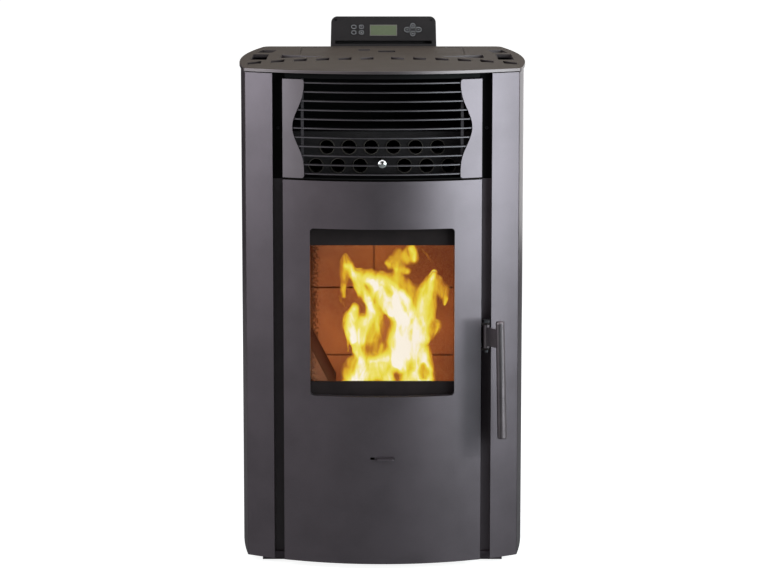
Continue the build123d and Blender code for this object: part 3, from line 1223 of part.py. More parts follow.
def door_frame():
    """Cast inner frame with the hinge knuckles and the ears that hold the handle's pin."""
    half = DOOR_HALF - SHEET - SEAT_GAP
    back = FRAME_FRONT + FRAME_THICKNESS
    frame = block(-half, half, FRAME_FRONT, back, FRAME_BOTTOM, FRAME_TOP)
    frame -= block(-VIEW_HALF, VIEW_HALF, FRAME_FRONT - 1, back + 1, VIEW_BOTTOM, VIEW_TOP)
    lap = GLASS_LAP + 0.5
    rebate = GLASS_THICKNESS + GASKET_THICKNESS
    frame -= block(-VIEW_HALF - lap, VIEW_HALF + lap, back - rebate, back + 1, VIEW_BOTTOM - lap,
                   VIEW_TOP + lap)
    frame -= rope_ring(ROPE_RADIUS + 0.2)
    for z in KNUCKLE_Z:
        arm_low = min(z, FRAME_TOP - 1)
        arm_high = max(z + KNUCKLE_LENGTH, FRAME_BOTTOM + 1)
        frame += rod_z(HINGE_X, HINGE_Y, arm_low, arm_high, KNUCKLE_R)
        frame -= rod_z(HINGE_X, HINGE_Y, z - 1, z + KNUCKLE_LENGTH + 1, HINGE_PIN_R + RUN_GAP)
    ear_low = HUB_BOTTOM - SEAT_GAP - EAR_THICKNESS
    ear_high = HUB_BOTTOM + HUB_HEIGHT + SEAT_GAP
    for z in (ear_low, ear_high):
        ear = block(half - 1, HANDLE_PIN_X, FRAME_FRONT, back, z, z + EAR_THICKNESS)
        ear += rod_z(HANDLE_PIN_X, HANDLE_PIN_Y, z, z + EAR_THICKNESS, HUB_R)
        frame += ear
        frame -= rod_z(HANDLE_PIN_X, HANDLE_PIN_Y, z - 1, z + EAR_THICKNESS + 1, HANDLE_PIN_R + RUN_GAP)
    return frame


def rope_ring(radius):
    """A closed ring of round rope along the back face of the frame."""
    half = DOOR_HALF - SHEET - SEAT_GAP - ROPE_INSET
    z0 = FRAME_BOTTOM + ROPE_INSET
    z1 = FRAME_TOP - ROPE_INSET
    y = FRAME_FRONT + FRAME_THICKNESS + ROPE_PROUD
    outline = Pos(0, (z0 + z1) / 2) * RectangleRounded(2 * half, z1 - z0, ROPE_CORNER)
    path = (Plane.XZ.offset(-y) * outline).face().outer_wire()
    section = Plane(origin=path @ 0, z_dir=path % 0) * Circle(radius)
    return sweep(section, path=path)


def door_rope_seal():
    return rope_ring(ROPE_RADIUS)


def window_glass():
    back = FRAME_FRONT + FRAME_THICKNESS
    return block(-VIEW_HALF - GLASS_LAP, VIEW_HALF + GLASS_LAP, back - GLASS_THICKNESS, back,
                 VIEW_BOTTOM - GLASS_LAP, VIEW_TOP + GLASS_LAP)


def glass_gasket():
    back = FRAME_FRONT + FRAME_THICKNESS
    y0 = back - GLASS_THICKNESS - GASKET_THICKNESS
    outer = block(-VIEW_HALF - GLASS_LAP, VIEW_HALF + GLASS_LAP, y0, y0 + GASKET_THICKNESS,
                  VIEW_BOTTOM - GLASS_LAP,
                  VIEW_TOP + GLASS_LAP)
    return outer - block(-VIEW_HALF, VIEW_HALF, y0 - 1, y0 + 2, VIEW_BOTTOM, VIEW_TOP)


def glass_clips():
    """Four spring clips over the glass edge, each with its screw head."""
    back = FRAME_FRONT + FRAME_THICKNESS
    clips = []
    for x in (-CLIP_X, CLIP_X):
        for z, side in ((VIEW_BOTTOM, -1), (VIEW_TOP, 1)):
            ends = sorted((z + side * CLIP_LAP, z + side * CLIP_REACH))
            clip = block(x - CLIP_HALF, x + CLIP_HALF, back, back + SHEET, *ends)
            clip += rod_y(x, z + side * CLIP_SCREW, back + SHEET, back + SHEET + CLIP_HEAD, CLIP_HEAD_R)
            clips.append(clip)
    return group(clips)


def hinge_brackets():
    """Ears on the firebox front, below and above the knuckles, each with its hinge pin."""
    brackets = []
    for knuckle_z, ear_z in zip(KNUCKLE_Z, HINGE_EAR_Z):
        bracket = rod_z(HINGE_X, HINGE_Y, ear_z, ear_z + EAR_THICKNESS, KNUCKLE_R)
        bracket += block(HINGE_X - HINGE_PIN_R + 1, HINGE_X + KNUCKLE_R, HINGE_Y,
                         FIREBOX_FACE - SEAT_GAP, ear_z,
                         ear_z + EAR_THICKNESS)
        pin_low = min(ear_z, knuckle_z)
        pin_high = max(ear_z + EAR_THICKNESS, knuckle_z + KNUCKLE_LENGTH)
        bracket += rod_z(HINGE_X, HINGE_Y, pin_low, pin_high, HINGE_PIN_R)
        brackets.append(bracket)
    return group(brackets)


# ================================================================ handle
def handle_bolt():
    low = HUB_BOTTOM - SEAT_GAP - EAR_THICKNESS
    high = HUB_BOTTOM + HUB_HEIGHT + SEAT_GAP + EAR_THICKNESS
    head = Pos(HANDLE_PIN_X, HANDLE_PIN_Y, high) * extrude(RegularPolygon(BOLT_HEAD_R, 6), BOLT_HEAD)
    bolt = rod_z(HANDLE_PIN_X, HANDLE_PIN_Y, low - BOLT_TAIL, high, HANDLE_PIN_R)
    return bolt + head


def handle_strap():
    """Hub on the bolt, flat strap out to the rod, and the claw that reaches back to the keeper."""
    dx = ROD_X - HANDLE_PIN_X
    dy = ROD_Y - HANDLE_PIN_Y
    span = math.hypot(dx, dy)
    turn = math.degrees(math.atan2(dy, dx))
    middle = HUB_BOTTOM + HUB_HEIGHT / 2
    hub = rod_z(HANDLE_PIN_X, HANDLE_PIN_Y, HUB_BOTTOM, HUB_BOTTOM + HUB_HEIGHT, HUB_R)
    strap = Box(span, STRAP_THICKNESS, STRAP_HEIGHT)
    hub += Pos(HANDLE_PIN_X + dx / 2, HANDLE_PIN_Y + dy / 2, middle) * Rot(0, 0, turn) * strap
    claw_back = POST_FACE - CLAW_CLEAR
    x0 = HANDLE_PIN_X - CLAW_HALF
    x1 = HANDLE_PIN_X + CLAW_HALF
    hub += block(x0, x1, HANDLE_PIN_Y, claw_back, middle - CLAW_RISE, middle + CLAW_RISE)
    hub -= rod_z(HANDLE_PIN_X, HANDLE_PIN_Y, HUB_BOTTOM - 1, HUB_BOTTOM + HUB_HEIGHT + 1,
                 HANDLE_PIN_R + RUN_GAP)
    return hub - handle_rod_solid(0.0)


def handle_rod_solid(groove):
    """Tapered round bar with a domed head, leaning out a little at the foot."""
    bar = Pos(0, 0, -ROD_LENGTH / 2) * rounded_bar(ROD_FOOT_R, ROD_TOP_R, ROD_LENGTH, ROD_FOOT_EDGE,
                                                   ROD_TOP_EDGE)
    foot_z = ROD_TOP - ROD_LENGTH
    if groove:
        for z in ROD_GROOVES:
            share = (z - foot_z) / ROD_LENGTH
            r = ROD_FOOT_R + (ROD_TOP_R - ROD_FOOT_R) * share
            ring = Cylinder(r + 2, GROOVE_WIDTH) - Cylinder(r - groove, GROOVE_WIDTH)
            bar -= Pos(0, 0, z - foot_z - ROD_LENGTH / 2) * ring
    lean = math.degrees(math.atan2(ROD_LEAN, ROD_LENGTH))
    return Pos(ROD_X, ROD_Y, foot_z + ROD_LENGTH / 2) * Rot(0, -lean, 0) * bar


def handle_rod():
    return handle_rod_solid(GROOVE_DEPTH)


def latch_keeper():
    """Two ears on the right post with the upright pin that the claw lies against."""
    middle = HUB_BOTTOM + HUB_HEIGHT / 2
    x = HANDLE_PIN_X - KEEPER_SIDE
    y = POST_FACE - KEEPER_REACH
    seat = POST_FACE - SEAT_GAP
    x0 = x - KEEPER_PIN_R
    keeper = rod_z(x, y, middle - KEEPER_HALF, middle + KEEPER_HALF, KEEPER_PIN_R)
    for z in (middle - KEEPER_HALF, middle + KEEPER_HALF - KEEPER_EAR):
        keeper += block(x0, x + KEEPER_PIN_R, y, seat, z, z + KEEPER_EAR)
    return keeper + block(x0, x0 + KEEPER_PLATE_WIDTH, seat - KEEPER_PLATE, seat,
                          middle - KEEPER_PLATE_HALF,
                          middle + KEEPER_PLATE_HALF)


# ================================================================ air slider
def air_slider():
    plate_half = TONGUE_HALF + 5
    plate_y = front_y(plate_half + SLIDER_TRAVEL, SHEET) + SEAT_GAP
    tongue = block(TONGUE_X - TONGUE_HALF, TONGUE_X + TONGUE_HALF, -DOOR_BULGE - TONGUE_PROUD, plate_y + 1,
                   SLOT_Z - TONGUE_THICKNESS / 2, SLOT_Z + TONGUE_THICKNESS / 2)
    front_edges = tongue.edges().filter_by(Axis.Z).group_by(Axis.Y)[0]
    tongue = fillet(front_edges, 3)
    plate = block(TONGUE_X - plate_half, TONGUE_X + plate_half, plate_y, plate_y + 2, SLOT_Z - 9,
                  SLOT_Z + 9)
    return tongue + plate


def screws():
    """Pan-head screws: one in each channel, two on the control face, six on the rear panel."""
    heads = []
    for side in (-1, 1):
        x = side * (DOOR_HALF + CHANNEL_WIDTH / 2)
        seat = POST_FACE - SEAT_GAP
        heads.append(rod_y(x, CHANNEL_SCREW_Z, seat - CHANNEL_SCREW_HEAD, seat, CHANNEL_SCREW_R))
    for side in (-1, 1):
        place = Pos(side * SCREW_X, SCREW_Y)
        head = on_face(place * Circle(SCREW_HEAD_R), SCREW_HEAD, SCREW_HEAD)
        heads.append(head + on_face(place * Circle(SCREW_SHANK_R), 0.1, FACE_THICKNESS))
    for side in (-1, 1):
        for z in (PANEL_BOTTOM + REAR_SCREW_RISE, (PANEL_BOTTOM + PANEL_TOP) / 2,
                  PANEL_TOP - REAR_SCREW_DROP):
            seat = BODY_DEPTH + SEAT_GAP
            x = side * (PANEL_INNER - REAR_SCREW_INSET)
            heads.append(rod_y(x, z, seat, seat + REAR_SCREW_HEAD, REAR_SCREW_R))
    return group(heads)


# ================================================================ write the parts
left_panel = side_panel()
save("left_side_panel", left_panel)
save("right_side_panel", mirrored(left_panel))
left_post = channel_post()
save("left_channel_post", left_post)
save("right_channel_post", mirrored(left_post))
left_cheek = grille_cheek()
save("left_grille_cheek", left_cheek)
save("right_grille_cheek", mirrored(left_cheek))
save("base_pan", base_pan())
save("levelling_feet", levelling_feet())
save("rear_panel", rear_panel())
save("top_plate", top_plate())
save("hopper_lid", hopper_lid())
save("lid_hinge", lid_hinge())
save("lid_seal", lid_seal())
save("hopper", hopper())
save("grille_slats", grille_slats())
save("grille_housing", grille_housing())
save("tube_plate", tube_plate())
save("exchanger_tubes", exchanger_tubes())
save("scraper_rod", scraper_rod())
save("scraper_knob", scraper_knob())
save("firebox_shell", firebox_shell())
save("back_refractory", back_refractory())
save("side_refractories", side_refractories())
save("burn_pot", burn_pot())
save("igniter", igniter())
save("ash_drawer", ash_drawer())
save("auger_tube", auger_tube())
save("auger_screw", auger_screw())
save("auger_motor", auger_motor())
save("exhaust_blower", exhaust_blower())
save("exhaust_impeller", exhaust_impeller())
save("convection_blower", convection_blower())
save("convection_impeller", convection_impeller())
save("air_inlet_pipe", air_inlet_pipe())
save("power_inlet", power_inlet())
save("control_housing", control_housing())
save("control_face", control_face())
save("display_window", display_window())
rims = key_outlines(KEY_RIM)
for key_name, key_outline in key_outlines().items():
    save(key_name, key_shape(key_outline, rims[key_name]))
save("door_skin", door_skin())
save("door_frame", door_frame())
save("door_rope_seal", door_rope_seal())
save("window_glass", window_glass())
save("glass_gasket", glass_gasket())
save("glass_clips", glass_clips())
save("hinge_brackets", hinge_brackets())
save("handle_bolt", handle_bolt())
save("handle_strap", handle_strap())
save("handle_rod", handle_rod())
save("latch_keeper", latch_keeper())
save("air_slider", air_slider())
save("screws", screws())
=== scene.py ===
"""Pellet stove: finishes, fire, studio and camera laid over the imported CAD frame.

Lengths are metres, apart from those marked mm, which are multiplied by MM where they are used.
"""
import json
import math

import bmesh
import bpy
from mathutils import Matrix, Vector, noise


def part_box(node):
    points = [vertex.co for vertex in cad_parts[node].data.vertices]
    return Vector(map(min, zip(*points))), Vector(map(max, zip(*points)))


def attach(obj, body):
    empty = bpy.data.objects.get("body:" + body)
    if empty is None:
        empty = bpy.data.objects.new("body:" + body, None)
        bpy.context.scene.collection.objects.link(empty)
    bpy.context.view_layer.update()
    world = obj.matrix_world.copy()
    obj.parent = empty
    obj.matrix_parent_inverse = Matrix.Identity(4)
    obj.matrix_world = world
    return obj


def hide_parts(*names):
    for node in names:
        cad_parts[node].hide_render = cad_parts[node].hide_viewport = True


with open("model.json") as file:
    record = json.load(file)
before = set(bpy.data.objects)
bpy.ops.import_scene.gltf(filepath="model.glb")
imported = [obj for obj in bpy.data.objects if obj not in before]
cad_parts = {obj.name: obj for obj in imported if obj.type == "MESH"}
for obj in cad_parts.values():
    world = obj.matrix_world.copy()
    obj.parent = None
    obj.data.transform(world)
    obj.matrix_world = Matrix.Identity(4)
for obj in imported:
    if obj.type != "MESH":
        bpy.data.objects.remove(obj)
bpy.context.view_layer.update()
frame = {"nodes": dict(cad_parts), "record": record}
scene = bpy.context.scene
MM = 0.001


# ================================================================ small helpers
def linear(sheet_colour):
    """sRGB hex as the linear colour that a shader takes."""
    parts = [int(sheet_colour[i:i + 2], 16) / 255 for i in (1, 3, 5)]
    return tuple(p / 12.92 if p <= 0.04045 else ((p + 0.055) / 1.055) ** 2.4 for p in parts) + (1.0,)


def add(tree, kind, options=None, sockets=None):
    """Adds one node, sets its options, and gives each socket a value or another node's output."""
    node = tree.nodes.new(kind)
    for name, value in (options or {}).items():
        setattr(node, name, value)
    for key, value in (sockets or {}).items():
        if isinstance(value, bpy.types.NodeSocket):
            tree.links.new(value, node.inputs[key])
        else:
            node.inputs[key].default_value = value
    return node


def finish(name):
    """A new material: its tree, its shader, and the piece's own coordinates."""
    material = bpy.data.materials.new(name)
    material.use_nodes = True
    tree = material.node_tree
    shader = tree.nodes["Principled BSDF"]
    place = add(tree, "ShaderNodeTexCoord").outputs["Object"]
    return material, tree, shader, place


def coated(name, dark, light, patch_mm, grain_mm, relief_mm, roughness, metallic=0.0, specular=0.5):
    """A painted, rolled or moulded surface: broad patches between two close colours, an uneven
    gloss over them, and a fine grain in relief. Sizes are real ones in mm."""
    material, tree, shader, place = finish(name)
    patches = add(tree, "ShaderNodeTexNoise", None,
                  {"Vector": place, "Scale": 1 / (patch_mm * MM), "Detail": 4.0, "Roughness": 0.55})
    grain = add(tree, "ShaderNodeTexNoise", None,
                {"Vector": place, "Scale": 1 / (grain_mm * MM), "Detail": 2.0, "Roughness": 0.6})
    spread = add(tree, "ShaderNodeMapRange", None, {0: patches.outputs[0], 1: 0.3, 2: 0.7}).outputs[0]
    speck = add(tree, "ShaderNodeMapRange", None,
                {0: grain.outputs[0], 1: 0.3, 2: 0.7, 3: 0.0, 4: 0.35}).outputs[0]
    both = add(tree, "ShaderNodeMath", {"operation": "ADD", "use_clamp": True},
               {0: spread, 1: speck}).outputs[0]
    colour = add(tree, "ShaderNodeMix", {"data_type": "RGBA"},
                 {0: both, 6: linear(dark), 7: linear(light)})
    gloss = add(tree, "ShaderNodeMapRange", None,
                {0: patches.outputs[0], 1: 0.3, 2: 0.7, 3: roughness[0], 4: roughness[1]})
    relief = add(tree, "ShaderNodeBump", None,
                 {"Strength": 0.6, "Distance": relief_mm * MM, "Height": grain.outputs[0]})
    tree.links.new(colour.outputs[2], shader.inputs["Base Color"])
    tree.links.new(gloss.outputs[0], shader.inputs["Roughness"])
    tree.links.new(relief.outputs[0], shader.inputs["Normal"])
    shader.inputs["Metallic"].default_value = metallic
    shader.inputs["Specular IOR Level"].default_value = specular
    return material


def new_piece(name, mesh, material, smooth=True):
    """Turns a finished bmesh into an object of the scene with one material."""
    data = bpy.data.meshes.new(name)
    mesh.to_mesh(data)
    mesh.free()
    for polygon in data.polygons:
        polygon.use_smooth = smooth
    data.materials.append(material)
    piece = bpy.data.objects.new(name, data)
    scene.collection.objects.link(piece)
    return piece


# ================================================================ finishes of the outer body
# Satin anthracite stove paint with aluminium flake: dark straight on, silvery where a lamp glances.
stove_paint = coated("satin anthracite metallic stove paint", "#5e565b", "#685f65", 90, 1.4, 0.02,
                     (0.37, 0.39), metallic=0.9)

# The same paint made lighter on the left cheek beside the slats: painted light, for the light that the
# cheek catches there.
lit_cheek_paint = coated("light anthracite metallic paint on the left cheek", "#6d656a", "#776f74",
                     90, 1.4, 0.02, (0.37, 0.39), metallic=0.9)

# The same paint on thin slats, a little duller from heat.
slat_paint = coated("satin anthracite paint on steel slats", "#4a4549", "#575256", 60, 1.2, 0.02,
                    (0.38, 0.46), metallic=0.8)

# Matt black heat-proof paint on plain steel sheet, nearly no shine.
black_paint = coated("matt black heat-proof paint", "#0a090a", "#110f10", 40, 1.0, 0.04,
                     (0.55, 0.68), specular=0.08)

# Anthracite paint, matt and darker, on the left channel's post: painted shade, so that the left channel
# stays darker than the right one.
shaded_channel_paint = coated("matt anthracite paint in the channels", "#484346", "#524d4f", 60, 1.2, 0.03,
                       (0.55, 0.65), specular=0.1)

# Heat-proof charcoal paint on the inner door frame, faintly brown where the fire has baked it.
frame_paint = coated("heat-proof charcoal paint on the door frame", "#191314", "#241c1d", 50, 1.2, 0.05,
                     (0.5, 0.62), specular=0.15)

# Satin graphite lacquer on the handle's bar and strap, smoother than the sheet metal.
handle_lacquer = coated("satin graphite lacquer on a turned bar", "#6e6569", "#7a7074", 30, 1.6, 0.01,
                        (0.33, 0.39), metallic=0.8)

# Soot-dark paint inside the warm air recess, faded a little by heat.
recess_paint = coated("heat-faded dark paint on the tube plate", "#130f11", "#1e191b", 25, 1.5, 0.05,
                      (0.5, 0.65), metallic=0.3, specular=0.3)

# ================================================================ finishes of metal and plastic
# Zinc plating on the levelling feet: pale grey with a soft bright sheen.
zinc_steel = coated("zinc plated steel", "#8d8f93", "#a9abae", 12, 0.6, 0.01, (0.28, 0.4), metallic=1.0)

# Blackened steel of the hinges, clips and latch keeper: charcoal that still shines like metal.
hinge_steel = coated("blackened hinge steel", "#2c2b2c", "#3a393a", 10, 0.8, 0.02, (0.4, 0.5),
                     metallic=0.9)

# The bolt that the handle turns on: plating worn to a middle grey.
bolt_steel = coated("dull plated bolt steel", "#66656a", "#7d7c80", 5, 0.6, 0.01, (0.3, 0.4),
                    metallic=1.0)

# Black oxide on the screws: near black, with an oily sheen on its edges.
screw_steel = coated("black oxide screw steel", "#232224", "#3a393b", 5, 0.6, 0.01, (0.3, 0.42),
                     metallic=0.9)

# Bare sheet of the firebox and ash drawer: brown-black heat scale, nearly no shine.
firebox_steel = coated("bare firebox steel dulled by heat", "#1f1c1b", "#3a322d", 35, 1.2, 0.08,
                       (0.55, 0.75), metallic=0.7)

# Drawn tube and rod with a thin oxide skin: warm grey, smoother than the firebox.
dull_tube = coated("mild steel tube with a thin oxide skin", "#3a3736", "#544e4a", 18, 0.9, 0.03,
                   (0.4, 0.55), metallic=0.85)

# The burn pot as it came out of the sand: grey-brown scale with a coarse skin.
cast_iron = coated("sand cast iron, scaled by fire", "#262322", "#423a36", 8, 1.6, 0.25,
                   (0.6, 0.8), metallic=0.6)

# Die-cast parts, the gear motor and the room air wheel: pale grey satin with a fine grain.
motor_cast = coated("die-cast aluminium", "#8f9194", "#a8aaac", 15, 0.7, 0.04, (0.35, 0.5),
                    metallic=1.0)

# Silicone of the lid's seal: flat black.
rubber = coated("black silicone rubber", "#131313", "#1d1d1d", 10, 0.8, 0.02, (0.6, 0.7), specular=0.3)

# Moulding of the power socket: neutral black with a low even sheen.
socket_abs = coated("moulded black ABS", "#151516", "#1e1e1f", 20, 0.7, 0.03, (0.45, 0.55))

# Moulding of the control panel: warm black with a low even sheen.
panel_abs = coated("moulded charcoal ABS housing", "#140e10", "#1b1416", 25, 0.7, 0.03, (0.48, 0.58),
                   specular=0.3)

# Film over the keys: as dark as the panel and a little smoother.
membrane = coated("printed charcoal polyester film", "#150f11", "#1d1618", 30, 1.0, 0.005, (0.4, 0.46),
                  specular=0.3)

# Glazed rod of the igniter: cream with a glassy shine.
ceramic_rod = coated("glazed igniter ceramic", "#b9b2a4", "#d2ccc0", 6, 0.7, 0.01, (0.3, 0.4))

# Flat gasket round the window glass: charcoal fibre without shine.
glass_seal = coated("flat glass-fibre gasket", "#2a2725", "#3b3734", 6, 0.9, 0.1, (0.8, 0.9),
                    specular=0.2)

RIM_METALLIC = 0.85          # flake of the smooth paint on the top plate's rim


def plate_paint():
    """Textured warm grey stove paint: the grit holds on the flat face, and the rim of the plate
    is smooth and silvery."""
    material, tree, shader, place = finish("fine textured warm grey stove paint")
    patches = add(tree, "ShaderNodeTexNoise", None,
                  {"Vector": place, "Scale": 1 / (45 * MM), "Detail": 4.0, "Roughness": 0.55})
    grit = add(tree, "ShaderNodeTexNoise", None,
               {"Vector": place, "Scale": 1 / (0.9 * MM), "Detail": 2.0})
    face = add(tree, "ShaderNodeMix", {"data_type": "RGBA"},
               {0: patches.outputs[0], 6: linear("#514943"), 7: linear("#5b524c")})
    upright = add(tree, "ShaderNodeSeparateXYZ", None,
                  {0: add(tree, "ShaderNodeTexCoord").outputs["Normal"]}).outputs["Z"]
    rim = add(tree, "ShaderNodeMapRange", None,
              {0: upright, 1: 0.4, 2: 0.8, 3: RIM_METALLIC, 4: 0.0}).outputs[0]
    colour = add(tree, "ShaderNodeMix", {"data_type": "RGBA"},
                 {0: rim, 6: face.outputs[2], 7: linear("#6a6265")})
    gloss = add(tree, "ShaderNodeMapRange", None, {0: rim, 2: RIM_METALLIC, 3: 0.7, 4: 0.36})
    relief = add(tree, "ShaderNodeBump", None,
                 {"Strength": 0.6, "Distance": 0.05 * MM, "Height": grit.outputs[0]})
    tree.links.new(colour.outputs[2], shader.inputs["Base Color"])
    tree.links.new(gloss.outputs[0], shader.inputs["Roughness"])
    tree.links.new(rim, shader.inputs["Metallic"])
    tree.links.new(relief.outputs[0], shader.inputs["Normal"])
    shader.inputs["Specular IOR Level"].default_value = 0.03
    return material


def galvanised():
    """Hot-dip galvanised sheet: frost-like crystals a centimetre wide, each with a tone and gloss
    of its own."""
    material, tree, shader, place = finish("hot-dip galvanised sheet")
    crystals = add(tree, "ShaderNodeTexVoronoi", None, {"Vector": place, "Scale": 1 / (11 * MM)})
    tone = add(tree, "ShaderNodeSeparateColor", None, {0: crystals.outputs["Color"]}).outputs[0]
    colour = add(tree, "ShaderNodeMix", {"data_type": "RGBA"},
                 {0: tone, 6: linear("#9b9ea0"), 7: linear("#b3b5b7")})
    gloss = add(tree, "ShaderNodeMapRange", None, {0: tone, 3: 0.40, 4: 0.50})
    grain = add(tree, "ShaderNodeTexNoise", None,
                {"Vector": place, "Scale": 1 / (1.5 * MM), "Detail": 3.0})
    relief = add(tree, "ShaderNodeBump", None,
                 {"Strength": 0.4, "Distance": 0.03 * MM, "Height": grain.outputs[0]})
    tree.links.new(colour.outputs[2], shader.inputs["Base Color"])
    tree.links.new(gloss.outputs[0], shader.inputs["Roughness"])
    tree.links.new(relief.outputs[0], shader.inputs["Normal"])
    shader.inputs["Metallic"].default_value = 0.95
    return material


def flue_aluminium():
    """Spun aluminium of the blower housing and flue pipe: fine rings from the lathe."""
    material, tree, shader, place = finish("spun aluminium")
    rings = add(tree, "ShaderNodeTexWave", {"wave_type": "BANDS", "bands_direction": "Y"},
                {"Vector": place, "Scale": 1 / (6 * MM), "Distortion": 0.6, "Detail": 2.0})
    colour = add(tree, "ShaderNodeMix", {"data_type": "RGBA"},
                 {0: rings.outputs["Fac"], 6: linear("#96989b"), 7: linear("#b6b8ba")})
    gloss = add(tree, "ShaderNodeMapRange", None, {0: rings.outputs["Fac"], 3: 0.3, 4: 0.42})
    relief = add(tree, "ShaderNodeBump", None,
                 {"Strength": 0.3, "Distance": 0.02 * MM, "Height": rings.outputs["Fac"]})
    tree.links.new(colour.outputs[2], shader.inputs["Base Color"])
    tree.links.new(gloss.outputs[0], shader.inputs["Roughness"])
    tree.links.new(relief.outputs[0], shader.inputs["Normal"])
    shader.inputs["Metallic"].default_value = 1.0
    return material


def chrome():
    """Polished chrome of the scraper knob, with the faint haze of handling."""
    material, tree, shader, place = finish("polished chrome plate")
    haze = add(tree, "ShaderNodeTexNoise", None,
               {"Vector": place, "Scale": 1 / (4 * MM), "Detail": 3.0})
    gloss = add(tree, "ShaderNodeMapRange", None, {0: haze.outputs[0], 3: 0.05, 4: 0.16})
    colour = add(tree, "ShaderNodeMix", {"data_type": "RGBA"},
                 {0: haze.outputs[0], 6: linear("#d6d6d8"), 7: linear("#ebebec")})
    tree.links.new(colour.outputs[2], shader.inputs["Base Color"])
    tree.links.new(gloss.outputs[0], shader.inputs["Roughness"])
    shader.inputs["Metallic"].default_value = 1.0
    return material


SHADE_EDGE = (-102, -86)      # mm across, where the painted shade on the left of the bricks fades out
JOINT_SOOT = 0.15            # share of soot at the bottom of a pressed joint
FOOT_DARKENING = 0.25             # least share of darkening on the foot beside the burn pot


def firebrick(name, foot_with_shaded_slope):
    """Pressed vermiculite board: tan-red with pale flakes, drawn 2.6 mm wide so that they show;
    smoked in broad patches, sooty in the pressed joints, with painted shade along the left edge
    of the fire. The foot beside the burn pot is darkened all over, with painted shade on its upward
    slope."""
    material, tree, shader, place = finish(name)
    flakes = add(tree, "ShaderNodeTexVoronoi", None, {"Vector": place, "Scale": 1 / (2.6 * MM)})
    flake = add(tree, "ShaderNodeSeparateColor", None, {0: flakes.outputs["Color"]}).outputs[1]
    smoke = add(tree, "ShaderNodeTexNoise", None,
                {"Vector": place, "Scale": 1 / (120 * MM), "Detail": 5.0})
    smoked = add(tree, "ShaderNodeMapRange", None, {0: smoke.outputs[0], 1: 0.38, 2: 0.62}).outputs[0]
    board = add(tree, "ShaderNodeMix", {"data_type": "RGBA"},
                {0: smoked, 6: linear("#7c4438"), 7: linear("#a8684b")})
    speckled = add(tree, "ShaderNodeMath", {"operation": "MULTIPLY"}, {0: flake, 1: 0.28}).outputs[0]
    flaked = add(tree, "ShaderNodeMix", {"data_type": "RGBA"},
                 {0: speckled, 6: board.outputs[2], 7: linear("#b98c62")})
    sides = add(tree, "ShaderNodeSeparateXYZ", None, {0: place})
    grain = add(tree, "ShaderNodeTexNoise", None,
                {"Vector": place, "Scale": 1 / (5 * MM), "Detail": 5.0, "Roughness": 0.7})
    # Painted shade along the left edge of the bricks, beside the left side wall, wandering with the
    # grain.
    wander = add(tree, "ShaderNodeMath", {"operation": "MULTIPLY_ADD"},
                 {0: grain.outputs[0], 1: 60 * MM, 2: sides.outputs["X"]}).outputs[0]
    edge = add(tree, "ShaderNodeMapRange", {"interpolation_type": "SMOOTHSTEP"},
               {0: wander, 1: SHADE_EDGE[0] * MM, 2: SHADE_EDGE[1] * MM, 3: 0.8, 4: 0.0}).outputs[0]
    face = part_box("back_refractory")[0].y
    joint = add(tree, "ShaderNodeMapRange", None,
                {0: sides.outputs["Y"], 1: face + 0.5 * MM, 2: face + 2.5 * MM,
                 3: 0.0, 4: JOINT_SOOT}).outputs[0]
    soot_and_shade = add(tree, "ShaderNodeMath", {"operation": "MAXIMUM"}, {0: edge, 1: joint}).outputs[0]
    # On the foot: painted shade on its upward slope, and a darkening all over it.
    if foot_with_shaded_slope:
        upright = add(tree, "ShaderNodeSeparateXYZ", None,
                      {0: add(tree, "ShaderNodeTexCoord").outputs["Normal"]}).outputs["Z"]
        slope = add(tree, "ShaderNodeMapRange", None,
                    {0: upright, 1: 0.05, 2: 0.2, 3: 0.0, 4: 1.0}).outputs[0]
        soot_and_shade = add(tree, "ShaderNodeMath", {"operation": "MAXIMUM"}, {0: soot_and_shade, 1: slope}).outputs[0]
        soot_and_shade = add(tree, "ShaderNodeMath", {"operation": "MAXIMUM"}, {0: soot_and_shade, 1: FOOT_DARKENING}).outputs[0]
    soot_and_shade_tone = linear("#34160a" if foot_with_shaded_slope else "#21130c")
    colour = add(tree, "ShaderNodeMix", {"data_type": "RGBA"},
                 {0: soot_and_shade, 6: flaked.outputs[2], 7: soot_and_shade_tone})
    relief = add(tree, "ShaderNodeBump", None,
                 {"Strength": 0.7, "Distance": 0.3 * MM, "Height": flake})
    tree.links.new(colour.outputs[2], shader.inputs["Base Color"])
    tree.links.new(relief.outputs[0], shader.inputs["Normal"])
    shader.inputs["Roughness"].default_value = 0.92
    shader.inputs["Specular IOR Level"].default_value = 0.15
    return material


def rope_fibre():
    """Braided glass-fibre rope: two sets of strands 3 mm wide that cross, charcoal with pale yarns."""
    material, tree, shader, place = finish("braided glass-fibre rope")
    one = add(tree, "ShaderNodeTexWave", {"wave_type": "BANDS", "bands_direction": "DIAGONAL"},
              {"Vector": place, "Scale": 1 / (9 * MM), "Distortion": 0.4}).outputs["Fac"]
    turned = add(tree, "ShaderNodeMapping", None,
                 {"Vector": place, "Rotation": (0.0, math.radians(90), 0.0)})
    two = add(tree, "ShaderNodeTexWave", {"wave_type": "BANDS", "bands_direction": "DIAGONAL"},
              {"Vector": turned.outputs[0], "Scale": 1 / (9 * MM), "Distortion": 0.4}).outputs["Fac"]
    strands = add(tree, "ShaderNodeMath", {"operation": "MAXIMUM"}, {0: one, 1: two}).outputs[0]
    colour = add(tree, "ShaderNodeMix", {"data_type": "RGBA"},
                 {0: strands, 6: linear("#1c1a19"), 7: linear("#5a544e")})
    relief = add(tree, "ShaderNodeBump", None,
                 {"Strength": 0.9, "Distance": 0.8 * MM, "Height": strands})
    tree.links.new(colour.outputs[2], shader.inputs["Base Color"])
    tree.links.new(relief.outputs[0], shader.inputs["Normal"])
    shader.inputs["Roughness"].default_value = 0.9
    shader.inputs["Specular IOR Level"].default_value = 0.15
    return material


